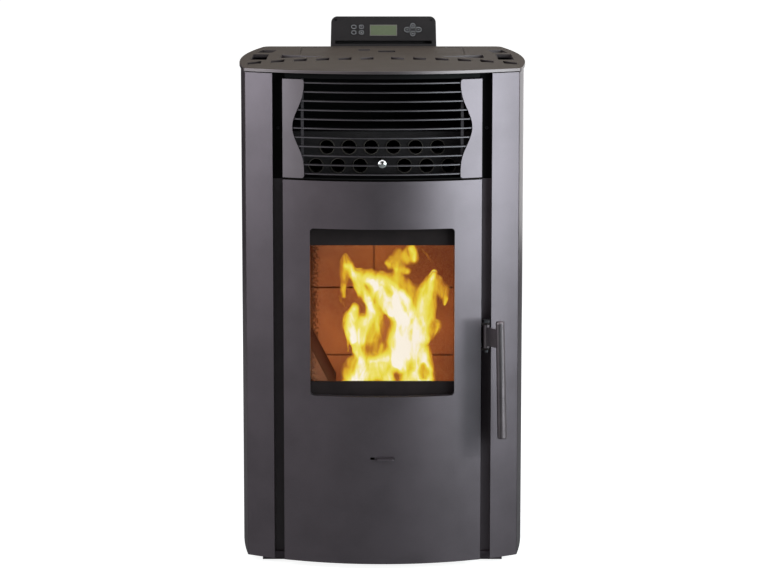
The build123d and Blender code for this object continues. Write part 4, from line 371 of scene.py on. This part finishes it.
def ceramic_glass():
    """Clear fire-proof glass-ceramic, faintly smoked in broad patches. The real one has an IOR of
    1.54; 1.12 keeps its mirror image as faint as it looks in front of a fire."""
    material, tree, shader, place = finish("clear glass-ceramic")
    film = add(tree, "ShaderNodeTexNoise", None,
               {"Vector": place, "Scale": 1 / (70 * MM), "Detail": 3.0})
    colour = add(tree, "ShaderNodeMix", {"data_type": "RGBA"},
                 {0: film.outputs[0], 6: linear("#f6efe6"), 7: linear("#fffdf8")})
    gloss = add(tree, "ShaderNodeMapRange", None, {0: film.outputs[0], 3: 0.0, 4: 0.03})
    tree.links.new(colour.outputs[2], shader.inputs["Base Color"])
    tree.links.new(gloss.outputs[0], shader.inputs["Roughness"])
    shader.inputs["Transmission Weight"].default_value = 1.0
    shader.inputs["IOR"].default_value = 1.12
    return material


DISPLAY_FRAME = 1.6          # mm, the width of its paler border


def display_glass():
    """Olive reflective LCD behind clear plastic: a paler frame round an even field."""
    material, tree, shader, place = finish("olive LCD behind clear plastic")
    low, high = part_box("display_window")
    middle = (low + high) / 2
    half = (high - low) / 2
    apart = add(tree, "ShaderNodeVectorMath", {"operation": "SUBTRACT"}, {0: place, 1: tuple(middle)})
    spread = add(tree, "ShaderNodeVectorMath", {"operation": "ABSOLUTE"}, {0: apart.outputs[0]})
    sides = add(tree, "ShaderNodeSeparateXYZ", None, {0: spread.outputs[0]})
    across = add(tree, "ShaderNodeMath", {"operation": "GREATER_THAN"},
                 {0: sides.outputs["X"], 1: half.x - DISPLAY_FRAME * MM})
    upright = add(tree, "ShaderNodeMath", {"operation": "GREATER_THAN"},
                  {0: sides.outputs["Z"], 1: half.z - DISPLAY_FRAME * MM})
    rim = add(tree, "ShaderNodeMath", {"operation": "MAXIMUM"},
              {0: across.outputs[0], 1: upright.outputs[0]})
    haze = add(tree, "ShaderNodeTexNoise", None,
               {"Vector": place, "Scale": 1 / (9 * MM), "Detail": 2.0})
    field = add(tree, "ShaderNodeMix", {"data_type": "RGBA"},
                {0: haze.outputs[0], 6: linear("#676c55"), 7: linear("#727860")})
    colour = add(tree, "ShaderNodeMix", {"data_type": "RGBA"},
                 {0: rim.outputs[0], 6: field.outputs[2], 7: linear("#7d7670")})
    tree.links.new(colour.outputs[2], shader.inputs["Base Color"])
    shader.inputs["Roughness"].default_value = 0.3
    shader.inputs["Specular IOR Level"].default_value = 0.2
    return material


# ================================================================ finishes on the CAD pieces
FINISHES = {                  # one for each slot of the part
    "body_paint": stove_paint, "grille_paint": slat_paint, "top_paint": plate_paint(),
    "black_paint": black_paint, "handle_paint": handle_lacquer, "rear_sheet": galvanised(),
    "foot_steel": zinc_steel, "hinge_steel": hinge_steel, "bolt_steel": bolt_steel,
    "screw_steel": screw_steel, "seal_rubber": rubber, "hopper_sheet": galvanised(),
    "tube_steel": dull_tube, "knob_chrome": chrome(), "firebox_steel": firebox_steel,
    "firebrick": firebrick("pressed vermiculite firebrick", False), "pot_iron": cast_iron,
    "igniter_ceramic": ceramic_rod, "motor_aluminium": motor_cast,
    "flue_aluminium": flue_aluminium(), "socket_plastic": socket_abs,
    "panel_black": panel_abs, "display_glass": display_glass(), "key_film": membrane,
    "frame_iron": frame_paint, "rope_fibre": rope_fibre(), "door_glass": ceramic_glass(),
}
OWN_FINISH = {                # pieces whose finish isn't that of their slot
    "tube_plate": recess_paint, "glass_gasket": glass_seal, "handle_strap": handle_lacquer,
    "left_grille_cheek": lit_cheek_paint, "left_channel_post": shaded_channel_paint,
    "right_channel_post": stove_paint, "base_pan": stove_paint,
    "side_refractories": firebrick("pressed vermiculite firebrick, sooty on its slope", True),
}

for part in frame["record"]["subparts"]:
    node = frame["nodes"][part["node"]]
    material = OWN_FINISH.get(part["node"], FINISHES[part["material_slot"]])
    for holder in node.material_slots:
        holder.material = material


# ================================================================ knob, screws and printed keys
def around(steps):
    """Even steps round a full turn, in radians."""
    return [math.tau * k / steps for k in range(steps)]


def turn(mesh, profile, x, z, steps):
    """Turns a profile of (radius, y) round the level axis through (x, z)."""
    rings = []
    for radius, y in profile:
        angles = around(steps) if radius > 0 else [0.0]
        rings.append([mesh.verts.new((x + radius * math.cos(angle), y, z + radius * math.sin(angle)))
                      for angle in angles])
    for one, two in zip(rings, rings[1:]):
        for k in range(steps):
            corners = (one[k % len(one)], one[(k + 1) % len(one)],
                       two[(k + 1) % len(two)], two[k % len(two)])
            mesh.faces.new(dict.fromkeys(corners))
    bmesh.ops.recalc_face_normals(mesh, faces=mesh.faces)


# The back of the knob: share of its radius, and mm from its back face.
KNOB_NECK = ((0.62, 0.0), (0.62, 1.2), (0.80, 2.0), (0.94, 3.2), (1.0, 4.6))
KNOB_RIM = 4.2 * MM          # radius of the full round edge
KNOB_DOME = 0.7 * MM         # depth of the domed face
KNOB_STEPS = 64              # round the knob
RIM_STEPS = 12               # round its edge


def build_knob():
    """The scraper's knob as it leaves the lathe: necked at the back, full round rim, domed face."""
    low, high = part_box("scraper_knob")
    radius = (high.x - low.x) / 2
    back, front = high.y, low.y
    profile = [(0.0, back)] + [(share * radius, back - depth * MM) for share, depth in KNOB_NECK]
    for step in range(1, RIM_STEPS + 1):
        angle = math.radians(90 * step / RIM_STEPS)
        profile.append((radius - KNOB_RIM + KNOB_RIM * math.cos(angle),
                        front + KNOB_DOME + KNOB_RIM - KNOB_RIM * math.sin(angle)))
    for share in (0.8, 0.6, 0.4, 0.2, 0.0):
        profile.append(((radius - KNOB_RIM) * share, front + KNOB_DOME * share * share))
    mesh = bmesh.new()
    turn(mesh, profile, (low.x + high.x) / 2, (low.z + high.z) / 2, KNOB_STEPS)
    knob = new_piece("turned_knob", mesh, FINISHES["knob_chrome"])
    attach(knob, "scraper")
    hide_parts("scraper_knob")


PANEL_LEAN = math.radians(8)
PANEL_OUT = Vector((0.0, -math.cos(PANEL_LEAN), math.sin(PANEL_LEAN)))

# Sets of equal screws: name, radius and height of the head in mm, the way they face, seats in mm.
SCREW_SETS = (
    ("channel_screws", 3.2, 2.0, (0.0, -1.0, 0.0), ((-187.75, -224.8, 802.0), (187.75, -224.8, 802.0))),
    ("panel_screws", 2.6, 1.2, tuple(PANEL_OUT), ((-91.7, 269.45, 961.6), (96.3, 269.45, 961.6))),
    ("rear_screws", 4.2, 2.4, (0.0, 1.0, 0.0), tuple((x, 257.8, z) for x in (-185.0, 185.0)
                                                     for z in (30.0, 457.0, 872.0))),
)
HEAD_TOP = 0.78              # of the head's radius: its flat top inside the chamfer
HEAD_RECESS = 0.44           # of the head's radius: the recess, over its corners
CUTTER_LIFT = 0.9            # of the head's height: leaves the recess's floor at 0.4 of it


def screw_tree():
    """Geometry Nodes that set a chamfered head with a hexagonal recess on every point."""
    tree = bpy.data.node_groups.new("socket screws on points", "GeometryNodeTree")
    tree.interface.new_socket("Seats", in_out="INPUT", socket_type="NodeSocketGeometry")
    for title, kind in (("Head radius", "NodeSocketFloat"), ("Head height", "NodeSocketFloat"),
                        ("Facing", "NodeSocketVector"), ("Finish", "NodeSocketMaterial")):
        tree.interface.new_socket(title, in_out="INPUT", socket_type=kind)
    tree.interface.new_socket("Screws", in_out="OUTPUT", socket_type="NodeSocketGeometry")
    given = add(tree, "NodeGroupInput").outputs
    rim = add(tree, "ShaderNodeMath", {"operation": "MULTIPLY"},
              {0: given["Head radius"], 1: HEAD_TOP}).outputs[0]
    recess = add(tree, "ShaderNodeMath", {"operation": "MULTIPLY"},
                 {0: given["Head radius"], 1: HEAD_RECESS}).outputs[0]
    head = add(tree, "GeometryNodeMeshCone", None, {
        "Vertices": 40, "Radius Top": rim, "Radius Bottom": given["Head radius"],
        "Depth": given["Head height"]})
    socket = add(tree, "GeometryNodeMeshCylinder", None, {
        "Vertices": 6, "Radius": recess, "Depth": given["Head height"]})
    lift = add(tree, "ShaderNodeMath", {"operation": "MULTIPLY"},
               {0: given["Head height"], 1: CUTTER_LIFT}).outputs[0]
    upwards = add(tree, "ShaderNodeCombineXYZ", None, {"Z": lift})
    raised = add(tree, "GeometryNodeTransform", None,
                 {"Geometry": socket.outputs["Mesh"], "Translation": upwards.outputs[0]})
    cut = add(tree, "GeometryNodeMeshBoolean", {"operation": "DIFFERENCE"},
              {"Mesh 1": head.outputs["Mesh"]})
    tree.links.new(raised.outputs[0], cut.inputs["Mesh 2"])
    turned = add(tree, "FunctionNodeAlignRotationToVector", {"axis": "Z"}, {"Vector": given["Facing"]})
    spread = add(tree, "GeometryNodeInstanceOnPoints", None, {
        "Points": given["Seats"], "Instance": cut.outputs[0], "Rotation": turned.outputs[0]})
    real = add(tree, "GeometryNodeRealizeInstances", None, {"Geometry": spread.outputs[0]})
    done = add(tree, "GeometryNodeSetMaterial", None,
               {"Geometry": real.outputs[0], "Material": given["Finish"]})
    add(tree, "NodeGroupOutput", None, {0: done.outputs[0]})
    return tree


def build_screws():
    """One plain mesh for each set of screws, from the tree above."""
    tree = screw_tree()
    inputs = {item.name: item.identifier for item in tree.interface.items_tree
              if item.in_out == "INPUT"}
    for name, radius, height, facing, seats in SCREW_SETS:
        data = bpy.data.meshes.new(name + "_seats")
        data.from_pydata([tuple(c * MM for c in seat) for seat in seats], [], [])
        holder = bpy.data.objects.new(name + "_seats", data)
        scene.collection.objects.link(holder)
        modifier = holder.modifiers.new("screws", "NODES")
        modifier.node_group = tree
        modifier[inputs["Head radius"]] = radius * MM
        modifier[inputs["Head height"]] = height * MM
        modifier[inputs["Facing"]] = facing
        modifier[inputs["Finish"]] = screw_steel
        evaluated = holder.evaluated_get(bpy.context.evaluated_depsgraph_get())
        mesh = bpy.data.meshes.new_from_object(evaluated)
        bpy.data.objects.remove(holder)
        mesh.name = name
        screws = bpy.data.objects.new(name, mesh)
        scene.collection.objects.link(screws)
        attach(screws, "cabinet")
        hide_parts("screws")


# Pale grey ink printed on the keys' film: a little glossier than the film, thin at its edges.
key_ink = coated("pale grey screen-printed ink", "#bcb8bd", "#cbc7cc", 6, 0.8, 0.004, (0.42, 0.5),
                 specular=0.3)

PRINT_WIDTH = 0.55           # mm; the real ring is about half as wide, drawn wider so that it shows
RING_SHARE = 0.44            # of the key's width and height, from its middle to the ring's edge
RING_STEPS = 48
INK_LIFT = 0.05              # mm over the key's top
LEVEL_WITHIN = 0.05          # mm: points as near as this to the highest one are on the key's top
MARKS = {                    # small generic marks inside the rings, corners in mm from the key's middle
    "button_1": (), "button_2": ((-1.1, -0.4), (1.1, -0.4), (1.1, 0.4), (-1.1, 0.4)), "button_3": (),
    "button_4": ((-0.9, -0.9), (0.9, -0.9), (0.9, 0.9), (-0.9, 0.9)),
    "pad_left": ((-1.6, 0.0), (0.7, -1.1), (0.7, 1.1)),
    "pad_right": ((1.6, 0.0), (-0.7, 1.1), (-0.7, -1.1)),
    "pad_up": ((0.0, 1.6), (-1.2, -0.7), (1.2, -0.7)),
    "pad_down": ((0.0, -1.6), (1.2, 0.7), (-1.2, 0.7)),
}


def build_key_print(key, corners):
    """The oval ring printed on a key and the mark in its middle, a film of ink on the key's top."""
    upward = Vector((0.0, math.sin(PANEL_LEAN), math.cos(PANEL_LEAN)))
    points = [vert.co for vert in frame["nodes"][key].data.vertices]
    top = max(point.dot(PANEL_OUT) for point in points)
    rim = [point for point in points if point.dot(PANEL_OUT) > top - LEVEL_WITHIN * MM]
    across = (min(p.x for p in rim), max(p.x for p in rim))
    along = (min(p.dot(upward) for p in rim), max(p.dot(upward) for p in rim))
    middle = (Vector((sum(across) / 2, 0, 0)) + upward * (sum(along) / 2)
              + PANEL_OUT * (top + INK_LIFT * MM))
    half_u = RING_SHARE * (across[1] - across[0])
    half_v = RING_SHARE * (along[1] - along[0])
    mesh = bmesh.new()

    def on_key(u, v):
        return mesh.verts.new(middle + Vector((u, 0, 0)) + upward * v)

    rings = []
    for less in (0.0, PRINT_WIDTH * MM):
        rings.append([on_key((half_u - less) * math.cos(angle), (half_v - less) * math.sin(angle))
                      for angle in around(RING_STEPS)])
    for k in range(RING_STEPS):
        after = (k + 1) % RING_STEPS
        mesh.faces.new((rings[0][k], rings[0][after], rings[1][after], rings[1][k]))
    if corners:
        mesh.faces.new([on_key(u * MM, v * MM) for u, v in corners])
    for face in mesh.faces:
        face.normal_update()
        if face.normal.dot(PANEL_OUT) < 0:
            face.normal_flip()
    ink = new_piece(key + "_print", mesh, key_ink, smooth=False)
    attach(ink, "key_" + key)


build_knob()
build_screws()
for key, corners in MARKS.items():
    build_key_print(key, corners)


# ================================================================ the fire
FIRE_Y = -0.1205             # m, over the burn pot, 5 mm behind its middle
FIRE_HALF_DEPTH = 18.0       # mm, where the gas burns hottest
FIRE_STEP = 2.2              # mm between the points of its skin
FIRE_LEFT, FIRE_WIDTH = -92, 226     # mm, the field in which the gas is worked out
FIRE_FOOT, FIRE_HEIGHT = 300, 296
FIRE_REACH = 1.42            # how far a stroke glows, in its own half widths
HEAT_SHARES = (0.88, 0.22, 0.08)     # of the hottest three strokes at a place
LEAST_HEAT = 0.03            # cooler gas isn't drawn

# How far the gas wanders and the width and height of its bends, all in mm, and a seed.
SWAY = (5.0, 22, 34, 0.0)
FLICKER = (1.8, 8, 16, 7.0)
RISE = (4.0, 18, 26, 3.0)

# The fire as strokes of burning gas: name, heat, then (x, z, half width) in mm along each.
TONGUES = (
    ("left tip", 0.44, ((-71, 478, 4), (-70, 501, 7), (-69, 521, 9), (-67, 539, 11), (-66, 552, 6))),
    ("left wisp", 0.24, ((-78, 477, 3), (-76, 466, 3), (-71, 457, 2))),
    ("slant from the left tip", 0.80, ((-64, 535, 8), (-52, 516, 9), (-40, 495, 10), (-30, 474, 11),
        (-21, 457, 11))),
    ("crown", 0.80, ((-50, 519, 9), (-32, 513, 13), (-10, 510, 15), (9, 506, 15), (23, 492, 13),
        (34, 472, 13))),
    ("pale slant in the crown", 1.05, ((-21, 506, 9), (-8, 490, 17), (5, 470, 17), (18, 448, 12))),
    ("middle column", 1.15, ((24, 477, 8), (31, 452, 15), (37, 425, 23), (37, 403, 26), (35, 379, 26),
        (31, 350, 20))),
    ("right of the column", 0.92, ((38, 486, 8), (51, 457, 10), (59, 430, 15), (62, 405, 20),
        (60, 376, 20), (69, 350, 19), (75, 314, 15))),
    ("right lobe", 0.86, ((73, 399, 14), (77, 421, 19), (77, 443, 19), (77, 466, 19), (82, 486, 16),
        (90, 506, 12), (94, 521, 5))),
    ("right hook", 0.56, ((93, 517, 5), (102, 499, 13), (110, 488, 13), (116, 474, 8), (113, 462, 3))),
    ("right fringe", 0.46, ((103, 428, 8), (97, 412, 8), (86, 401, 8))),
    ("haze beside the column", 0.46, ((34, 512, 9), (45, 497, 12), (58, 479, 14), (66, 457, 11))),
    ("top puff", 0.50, ((18, 545, 8), (36, 550, 14), (51, 556, 15), (57, 550, 11))),
    ("edge of the puff", 0.66, ((51, 568, 8), (58, 557, 6), (59, 545, 4))),
    ("wisp below the puff", 0.52, ((8, 541, 3), (18, 535, 8), (31, 530, 11), (45, 527, 7))),
    ("neck of the puff", 0.55, ((26, 540, 6), (27, 519, 11), (25, 506, 12), (27, 486, 12))),
    ("far wisp", 0.20, ((74, 565, 3), (82, 557, 3), (89, 545, 2))),
    ("left body", 1.05, ((-53, 456, 8), (-56, 439, 13), (-55, 419, 15), (-51, 396, 11))),
    ("left inner body", 0.88, ((-25, 474, 8), (-20, 452, 11), (-29, 432, 16), (-38, 412, 16),
        (-41, 392, 13), (-41, 370, 11), (-39, 345, 15), (-45, 314, 18))),
    ("gold between", 0.62, ((-10, 463, 8), (-10, 439, 15), (-10, 416, 17), (-13, 394, 20),
        (-13, 374, 20))),
    ("left rim streak", 0.50, ((-66, 410, 4), (-64, 390, 3), (-62, 372, 1))),
    ("left slant streak", 0.66, ((-57, 401, 4), (-50, 379, 4), (-42, 356, 4))),
    ("left foot", 0.56, ((-42, 361, 8), (-56, 350, 12), (-64, 336, 12), (-63, 314, 10))),
    ("foot", 0.88, ((-56, 318, 15), (-30, 334, 24), (-2, 341, 24), (14, 321, 13))),
    ("above the foot", 0.84, ((-24, 359, 13), (-2, 361, 17), (20, 361, 18))),
    ("right foot", 0.84, ((45, 318, 18), (60, 330, 21), (80, 325, 15), (87, 341, 10), (81, 363, 11),
        (75, 381, 11))),
)

# Places inside the fire where the bricks show through or the gas burns thinner.
HOLLOWS = (
    ("between the column and the body", 0.60, ((9, 439, 6), (8, 425, 8), (1, 405, 10), (-2, 394, 6))),
    ("gold hollow", 0.40, ((-30, 381, 9), (-19, 377, 15), (-10, 376, 9))),
    ("foot of the column", 0.40, ((24, 343, 6), (25, 330, 10), (27, 312, 11))),
    ("right hollow", 0.55, ((76, 350, 6), (77, 336, 10), (76, 325, 6))),
    ("under the crown", 0.50, ((-39, 463, 4), (-39, 454, 6), (-33, 445, 4))),
)


def flame_finish():
    """Burning wood gas: thin and orange at its rim, then gold, lemon, and near white at its heart."""
    material, tree, shader, place = finish("burning wood gas")
    heat = add(tree, "ShaderNodeAttribute", {"attribute_name": "gas_warmth"}).outputs["Fac"]
    stretched = add(tree, "ShaderNodeMapping", None, {"Vector": place, "Scale": (1.0, 1.0, 0.4)})
    licks = add(tree, "ShaderNodeTexNoise", None,
                {"Vector": stretched.outputs[0], "Scale": 1 / (18 * MM), "Detail": 4.0,
                 "Distortion": 1.2})
    torn = add(tree, "ShaderNodeMapRange", None,
               {0: licks.outputs[0], 1: 0.3, 2: 0.7, 3: -0.15, 4: 0.15})
    warmth = add(tree, "ShaderNodeMath", {"operation": "ADD"}, {0: heat, 1: torn.outputs[0]}).outputs[0]
    ramp = add(tree, "ShaderNodeValToRGB", None, {0: warmth})
    stops = ((0.10, "#8a4a22"), (0.30, "#c4822a"), (0.45, "#dfb32e"), (0.62, "#ebdd46"),
             (0.80, "#f4ea80"), (0.97, "#fffaf0"))
    colours = ramp.color_ramp.elements
    while len(colours) < len(stops):
        colours.new(0.5)
    for stop, (at, shade) in zip(colours, stops):
        stop.position = at
        stop.color = linear(shade)
    veil = add(tree, "ShaderNodeMapRange", {"interpolation_type": "SMOOTHSTEP"},
               {0: warmth, 1: LEAST_HEAT, 2: 0.48})
    tree.links.new(ramp.outputs[0], shader.inputs["Emission Color"])
    tree.links.new(veil.outputs[0], shader.inputs["Alpha"])
    shader.inputs["Base Color"].default_value = (0.0, 0.0, 0.0, 1.0)
    shader.inputs["Specular IOR Level"].default_value = 0.0
    shader.inputs["Emission Strength"].default_value = 1.0
    return material


def stroke_strength(points, x, z):
    """1 on the line through the points, falling softly to 0 at its half width."""
    strength = 0.0
    for (x0, z0, w0), (x1, z1, w1) in zip(points, points[1:]):
        dx = x1 - x0
        dz = z1 - z0
        share = ((x - x0) * dx + (z - z0) * dz) / (dx * dx + dz * dz)
        share = min(1.0, max(0.0, share))
        reach = FIRE_REACH * (w0 + (w1 - w0) * share)
        away = math.hypot(x - x0 - dx * share, z - z0 - dz * share) / reach
        if away < 1.0:
            strength = max(strength, (1.0 - away * away) ** 1.3)
    return strength


def wander(x, z, bends):
    """How far the gas has strayed at a place in the fire, in mm."""
    reach, width, height, seed = bends
    return reach * noise.noise(Vector((x / width, z / height, seed)))


def fire_heat(x, z):
    """Heat of the gas at a place in the fire, between 0 and about 1.2."""
    x += wander(x, z, SWAY) + wander(x, z, FLICKER)
    z += wander(x, z, RISE)
    strengths = sorted((heat * stroke_strength(points, x, z) for _, heat, points in TONGUES),
                       reverse=True)
    heat = sum(share * strength for share, strength in zip(HEAT_SHARES, strengths))
    for _, depth, points in HOLLOWS:
        heat -= depth * heat * stroke_strength(points, x, z)
    return heat


def build_fire():
    """A lens of gas over the burn pot, thick where it is hot, that keeps its heat at every point."""
    columns = [FIRE_LEFT + FIRE_STEP * i for i in range(int(FIRE_WIDTH / FIRE_STEP))]
    rows = [FIRE_FOOT + FIRE_STEP * k for k in range(int(FIRE_HEIGHT / FIRE_STEP))]
    field = [[fire_heat(x, z) for x in columns] for z in rows]
    mesh = bmesh.new()
    heat_layer = mesh.verts.layers.float.new("gas_warmth")
    skins = []
    for side in (-1, 1):
        skin = []
        for z, line in zip(rows, field):
            row = []
            for x, heat in zip(columns, line):
                thick = FIRE_HALF_DEPTH * min(1.0, max(0.0, heat - LEAST_HEAT)) ** 0.5
                vert = mesh.verts.new((x * MM, FIRE_Y + side * thick * MM, z * MM))
                vert[heat_layer] = heat
                row.append(vert)
            skin.append(row)
        skins.append(skin)
    for skin in skins:
        for k in range(len(rows) - 1):
            for i in range(len(columns) - 1):
                hottest = max(field[k][i], field[k + 1][i], field[k][i + 1], field[k + 1][i + 1])
                if hottest > LEAST_HEAT:
                    mesh.faces.new((skin[k][i], skin[k][i + 1], skin[k + 1][i + 1], skin[k + 1][i]))
    bmesh.ops.remove_doubles(mesh, verts=mesh.verts, dist=0.02 * MM)
    bmesh.ops.delete(mesh, geom=[v for v in mesh.verts if not v.link_faces], context="VERTS")
    foot = [e for e in mesh.edges if len(e.link_faces) == 1]
    bmesh.ops.holes_fill(mesh, edges=foot, sides=0)
    bmesh.ops.recalc_face_normals(mesh, faces=mesh.faces)
    flames = new_piece("flames", mesh, flame_finish())
    flames.visible_shadow = False
    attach(flames, "cabinet")


build_fire()

# ================================================================ studio
ROOM = 40.0                  # m from the stove to the floor's edge
FLOOR_GLOW = 0.9             # with the lamps' light on it the floor reads white
WORLD_FILL = 0.3             # the white room as a lamp
MAT_STEPS = 48
MAT_LIFT = 2 * MM


def where_seen(tree):
    """1 for the rays by which the camera, mirrors and glass see the white surroundings."""
    rays = add(tree, "ShaderNodeLightPath").outputs
    seen = add(tree, "ShaderNodeMath", {"operation": "MAXIMUM"},
               {0: rays["Is Camera Ray"], 1: rays["Is Glossy Ray"]}).outputs[0]
    return add(tree, "ShaderNodeMath", {"operation": "MAXIMUM"},
               {0: seen, 1: rays["Is Transmission Ray"]}).outputs[0]


def build_floor():
    """Pale floor: white to the eye, with the stove's shadow kept on it."""
    data = bpy.data.meshes.new("studio_floor")
    data.from_pydata([(-ROOM, -ROOM, 0), (ROOM, -ROOM, 0), (ROOM, ROOM, 0), (-ROOM, ROOM, 0)], [],
                     [(0, 1, 2, 3)])
    floor = bpy.data.objects.new("studio_floor", data)
    scene.collection.objects.link(floor)
    material = bpy.data.materials.new("pale studio floor")
    material.use_nodes = True
    tree = material.node_tree
    tree.nodes.clear()
    lit = add(tree, "ShaderNodeBsdfDiffuse", None, {"Color": linear("#c0c0c0")})
    strength = add(tree, "ShaderNodeMath", {"operation": "MULTIPLY"},
                   {0: where_seen(tree), 1: FLOOR_GLOW})
    glow = add(tree, "ShaderNodeEmission", None,
               {"Color": (1, 1, 1, 1), "Strength": strength.outputs[0]})
    both = add(tree, "ShaderNodeAddShader", None, {0: lit.outputs[0], 1: glow.outputs[0]})
    add(tree, "ShaderNodeOutputMaterial", None, {"Surface": both.outputs[0]})
    data.materials.append(material)


def build_world():
    """A white room: plain white where it is seen, a mild fill where it lights."""
    world = bpy.data.worlds.new("studio")
    scene.world = world
    world.use_nodes = True
    tree = world.node_tree
    tree.nodes.clear()
    strength = add(tree, "ShaderNodeMapRange", None, {0: where_seen(tree), 3: WORLD_FILL, 4: 1.0})
    sky = add(tree, "ShaderNodeBackground", None,
              {"Color": (1, 1, 1, 1), "Strength": strength.outputs[0]})
    add(tree, "ShaderNodeOutputWorld", None, {"Surface": sky.outputs[0]})


def standing(place, turned, lean=0.0):
    """Stands something flat up at a place: turned from facing the front, then leaning forward,
    both in degrees."""
    return (Matrix.Translation(place) @ Matrix.Rotation(math.radians(turned), 4, "Z")
            @ Matrix.Rotation(math.radians(90 - lean), 4, "X"))


def facing_the_stove(azimuth, distance, low, height, lean=0.0):
    """Place of an upright panel that faces the stove; azimuth 0 is in front, 90 to the right."""
    angle = math.radians(azimuth)
    place = Vector((math.sin(angle) * distance, -0.05 - math.cos(angle) * distance, low + height / 2))
    return standing(place, azimuth, lean)


def softbox(name, azimuth, distance, low, height, width, brightness, tint="#ffffff", lean=0.0):
    """A soft lamp of even brightness."""
    data = bpy.data.lights.new(name, "AREA")
    data.shape = "RECTANGLE"
    data.size = width
    data.size_y = height
    data.energy = brightness * math.pi * width * height
    data.color = linear(tint)[:3]
    lamp = bpy.data.objects.new(name, data)
    scene.collection.objects.link(lamp)
    lamp.matrix_world = facing_the_stove(azimuth, distance, low, height, lean)
    lamp.visible_camera = False


def gloss_card(name, corners, cloth, tone):
    """A flat piece of dull cloth that only gloss sees, and no camera: it stands for what is darker
    than the white room."""
    data = bpy.data.meshes.new(name)
    data.from_pydata(corners, [], [tuple(range(len(corners)))])
    card = bpy.data.objects.new(name, data)
    scene.collection.objects.link(card)
    material = bpy.data.materials.new(cloth)
    material.use_nodes = True
    shader = material.node_tree.nodes["Principled BSDF"]
    shader.inputs["Base Color"].default_value = linear(tone)
    shader.inputs["Specular IOR Level"].default_value = 0.0
    data.materials.append(material)
    card.visible_camera = False
    card.visible_shadow = False
    card.visible_diffuse = False
    card.visible_transmission = False


def flag(name, place, height, width):
    """A black card that keeps the white room out of the paint's gloss."""
    corners = [place @ Vector((u * width / 2, v * height / 2, 0))
               for u, v in ((-1, -1), (1, -1), (1, 1), (-1, 1))]
    gloss_card(name, corners, "black flock card", "#0a0a0a")


def table_mat(name, reach, tone):
    """A grey mat round the stove, so that the pale floor doesn't grey the paint."""
    ring = [(reach * math.cos(angle), reach * math.sin(angle), MAT_LIFT)
            for angle in around(MAT_STEPS)]
    gloss_card(name, ring, "grey felt mat", tone)


build_floor()
build_world()
# Name, azimuth, distance, height of the lower edge, height, width, brightness, tint.
softbox("right_softbox", 46, 2.3, 0.2, 1.8, 1.7, 6.4, "#e4f8f8")
softbox("left_softbox", -60, 2.3, 0.66, 1.5, 0.9, 4.7, "#eefcff")
softbox("overhead_softbox", 0, 0.2, 2.2, 1.6, 1.6, 1.6, lean=90)
softbox("back_softbox", 165, 2.6, 0.2, 1.4, 1.6, 1.6)
flag("front_flag", facing_the_stove(0, 6.5, 0.0, 4.0), 4.0, 3.6)
flag("left_flag", facing_the_stove(-150, 3.0, 0.0, 2.4), 2.4, 2.6)
flag("right_flag", facing_the_stove(150, 3.0, 0.0, 2.4), 2.4, 2.6)
# This black strip beside the handle, seen only in the door's gloss, is a painted dark reflection that
# stands for the handle's shade in the door.
flag("handle_shade_flag", standing((0.197, -0.300, 0.332), 31), 0.25, 0.046)
table_mat("table_mat", 6.0, "#8c8c8c")

# The glow of the fire on the bricks round it, from just in front of the gas.
ember_data = bpy.data.lights.new("fire_light", "POINT")
ember_data.energy = 1.0
ember_data.color = linear("#ffd0a4")[:3]
ember_data.shadow_soft_size = 0.05
ember = bpy.data.objects.new("fire_light", ember_data)
scene.collection.objects.link(ember)
ember.location = (0.01, FIRE_Y - 0.03, 0.42)
ember.visible_camera = False
ember.visible_transmission = False
ember.visible_glossy = False

# ================================================================ camera
CAMERA_PLACE = (0.0, -5.2205, 1.3455)
CAMERA_PITCH = 8.39          # degrees below the horizon
PICTURE_WIDTH = 768          # pixels, for the shifts

camera_data = bpy.data.cameras.new("photograph_view")
camera_data.sensor_width = 36.0
camera_data.lens = 130.9
camera_data.shift_x = 1.7 / PICTURE_WIDTH
camera_data.shift_y = -54 / PICTURE_WIDTH
camera = bpy.data.objects.new("photograph_view", camera_data)
scene.collection.objects.link(camera)
camera.matrix_world = standing(CAMERA_PLACE, 0, CAMERA_PITCH)
scene.camera = camera
scene.view_settings.view_transform = "Standard"
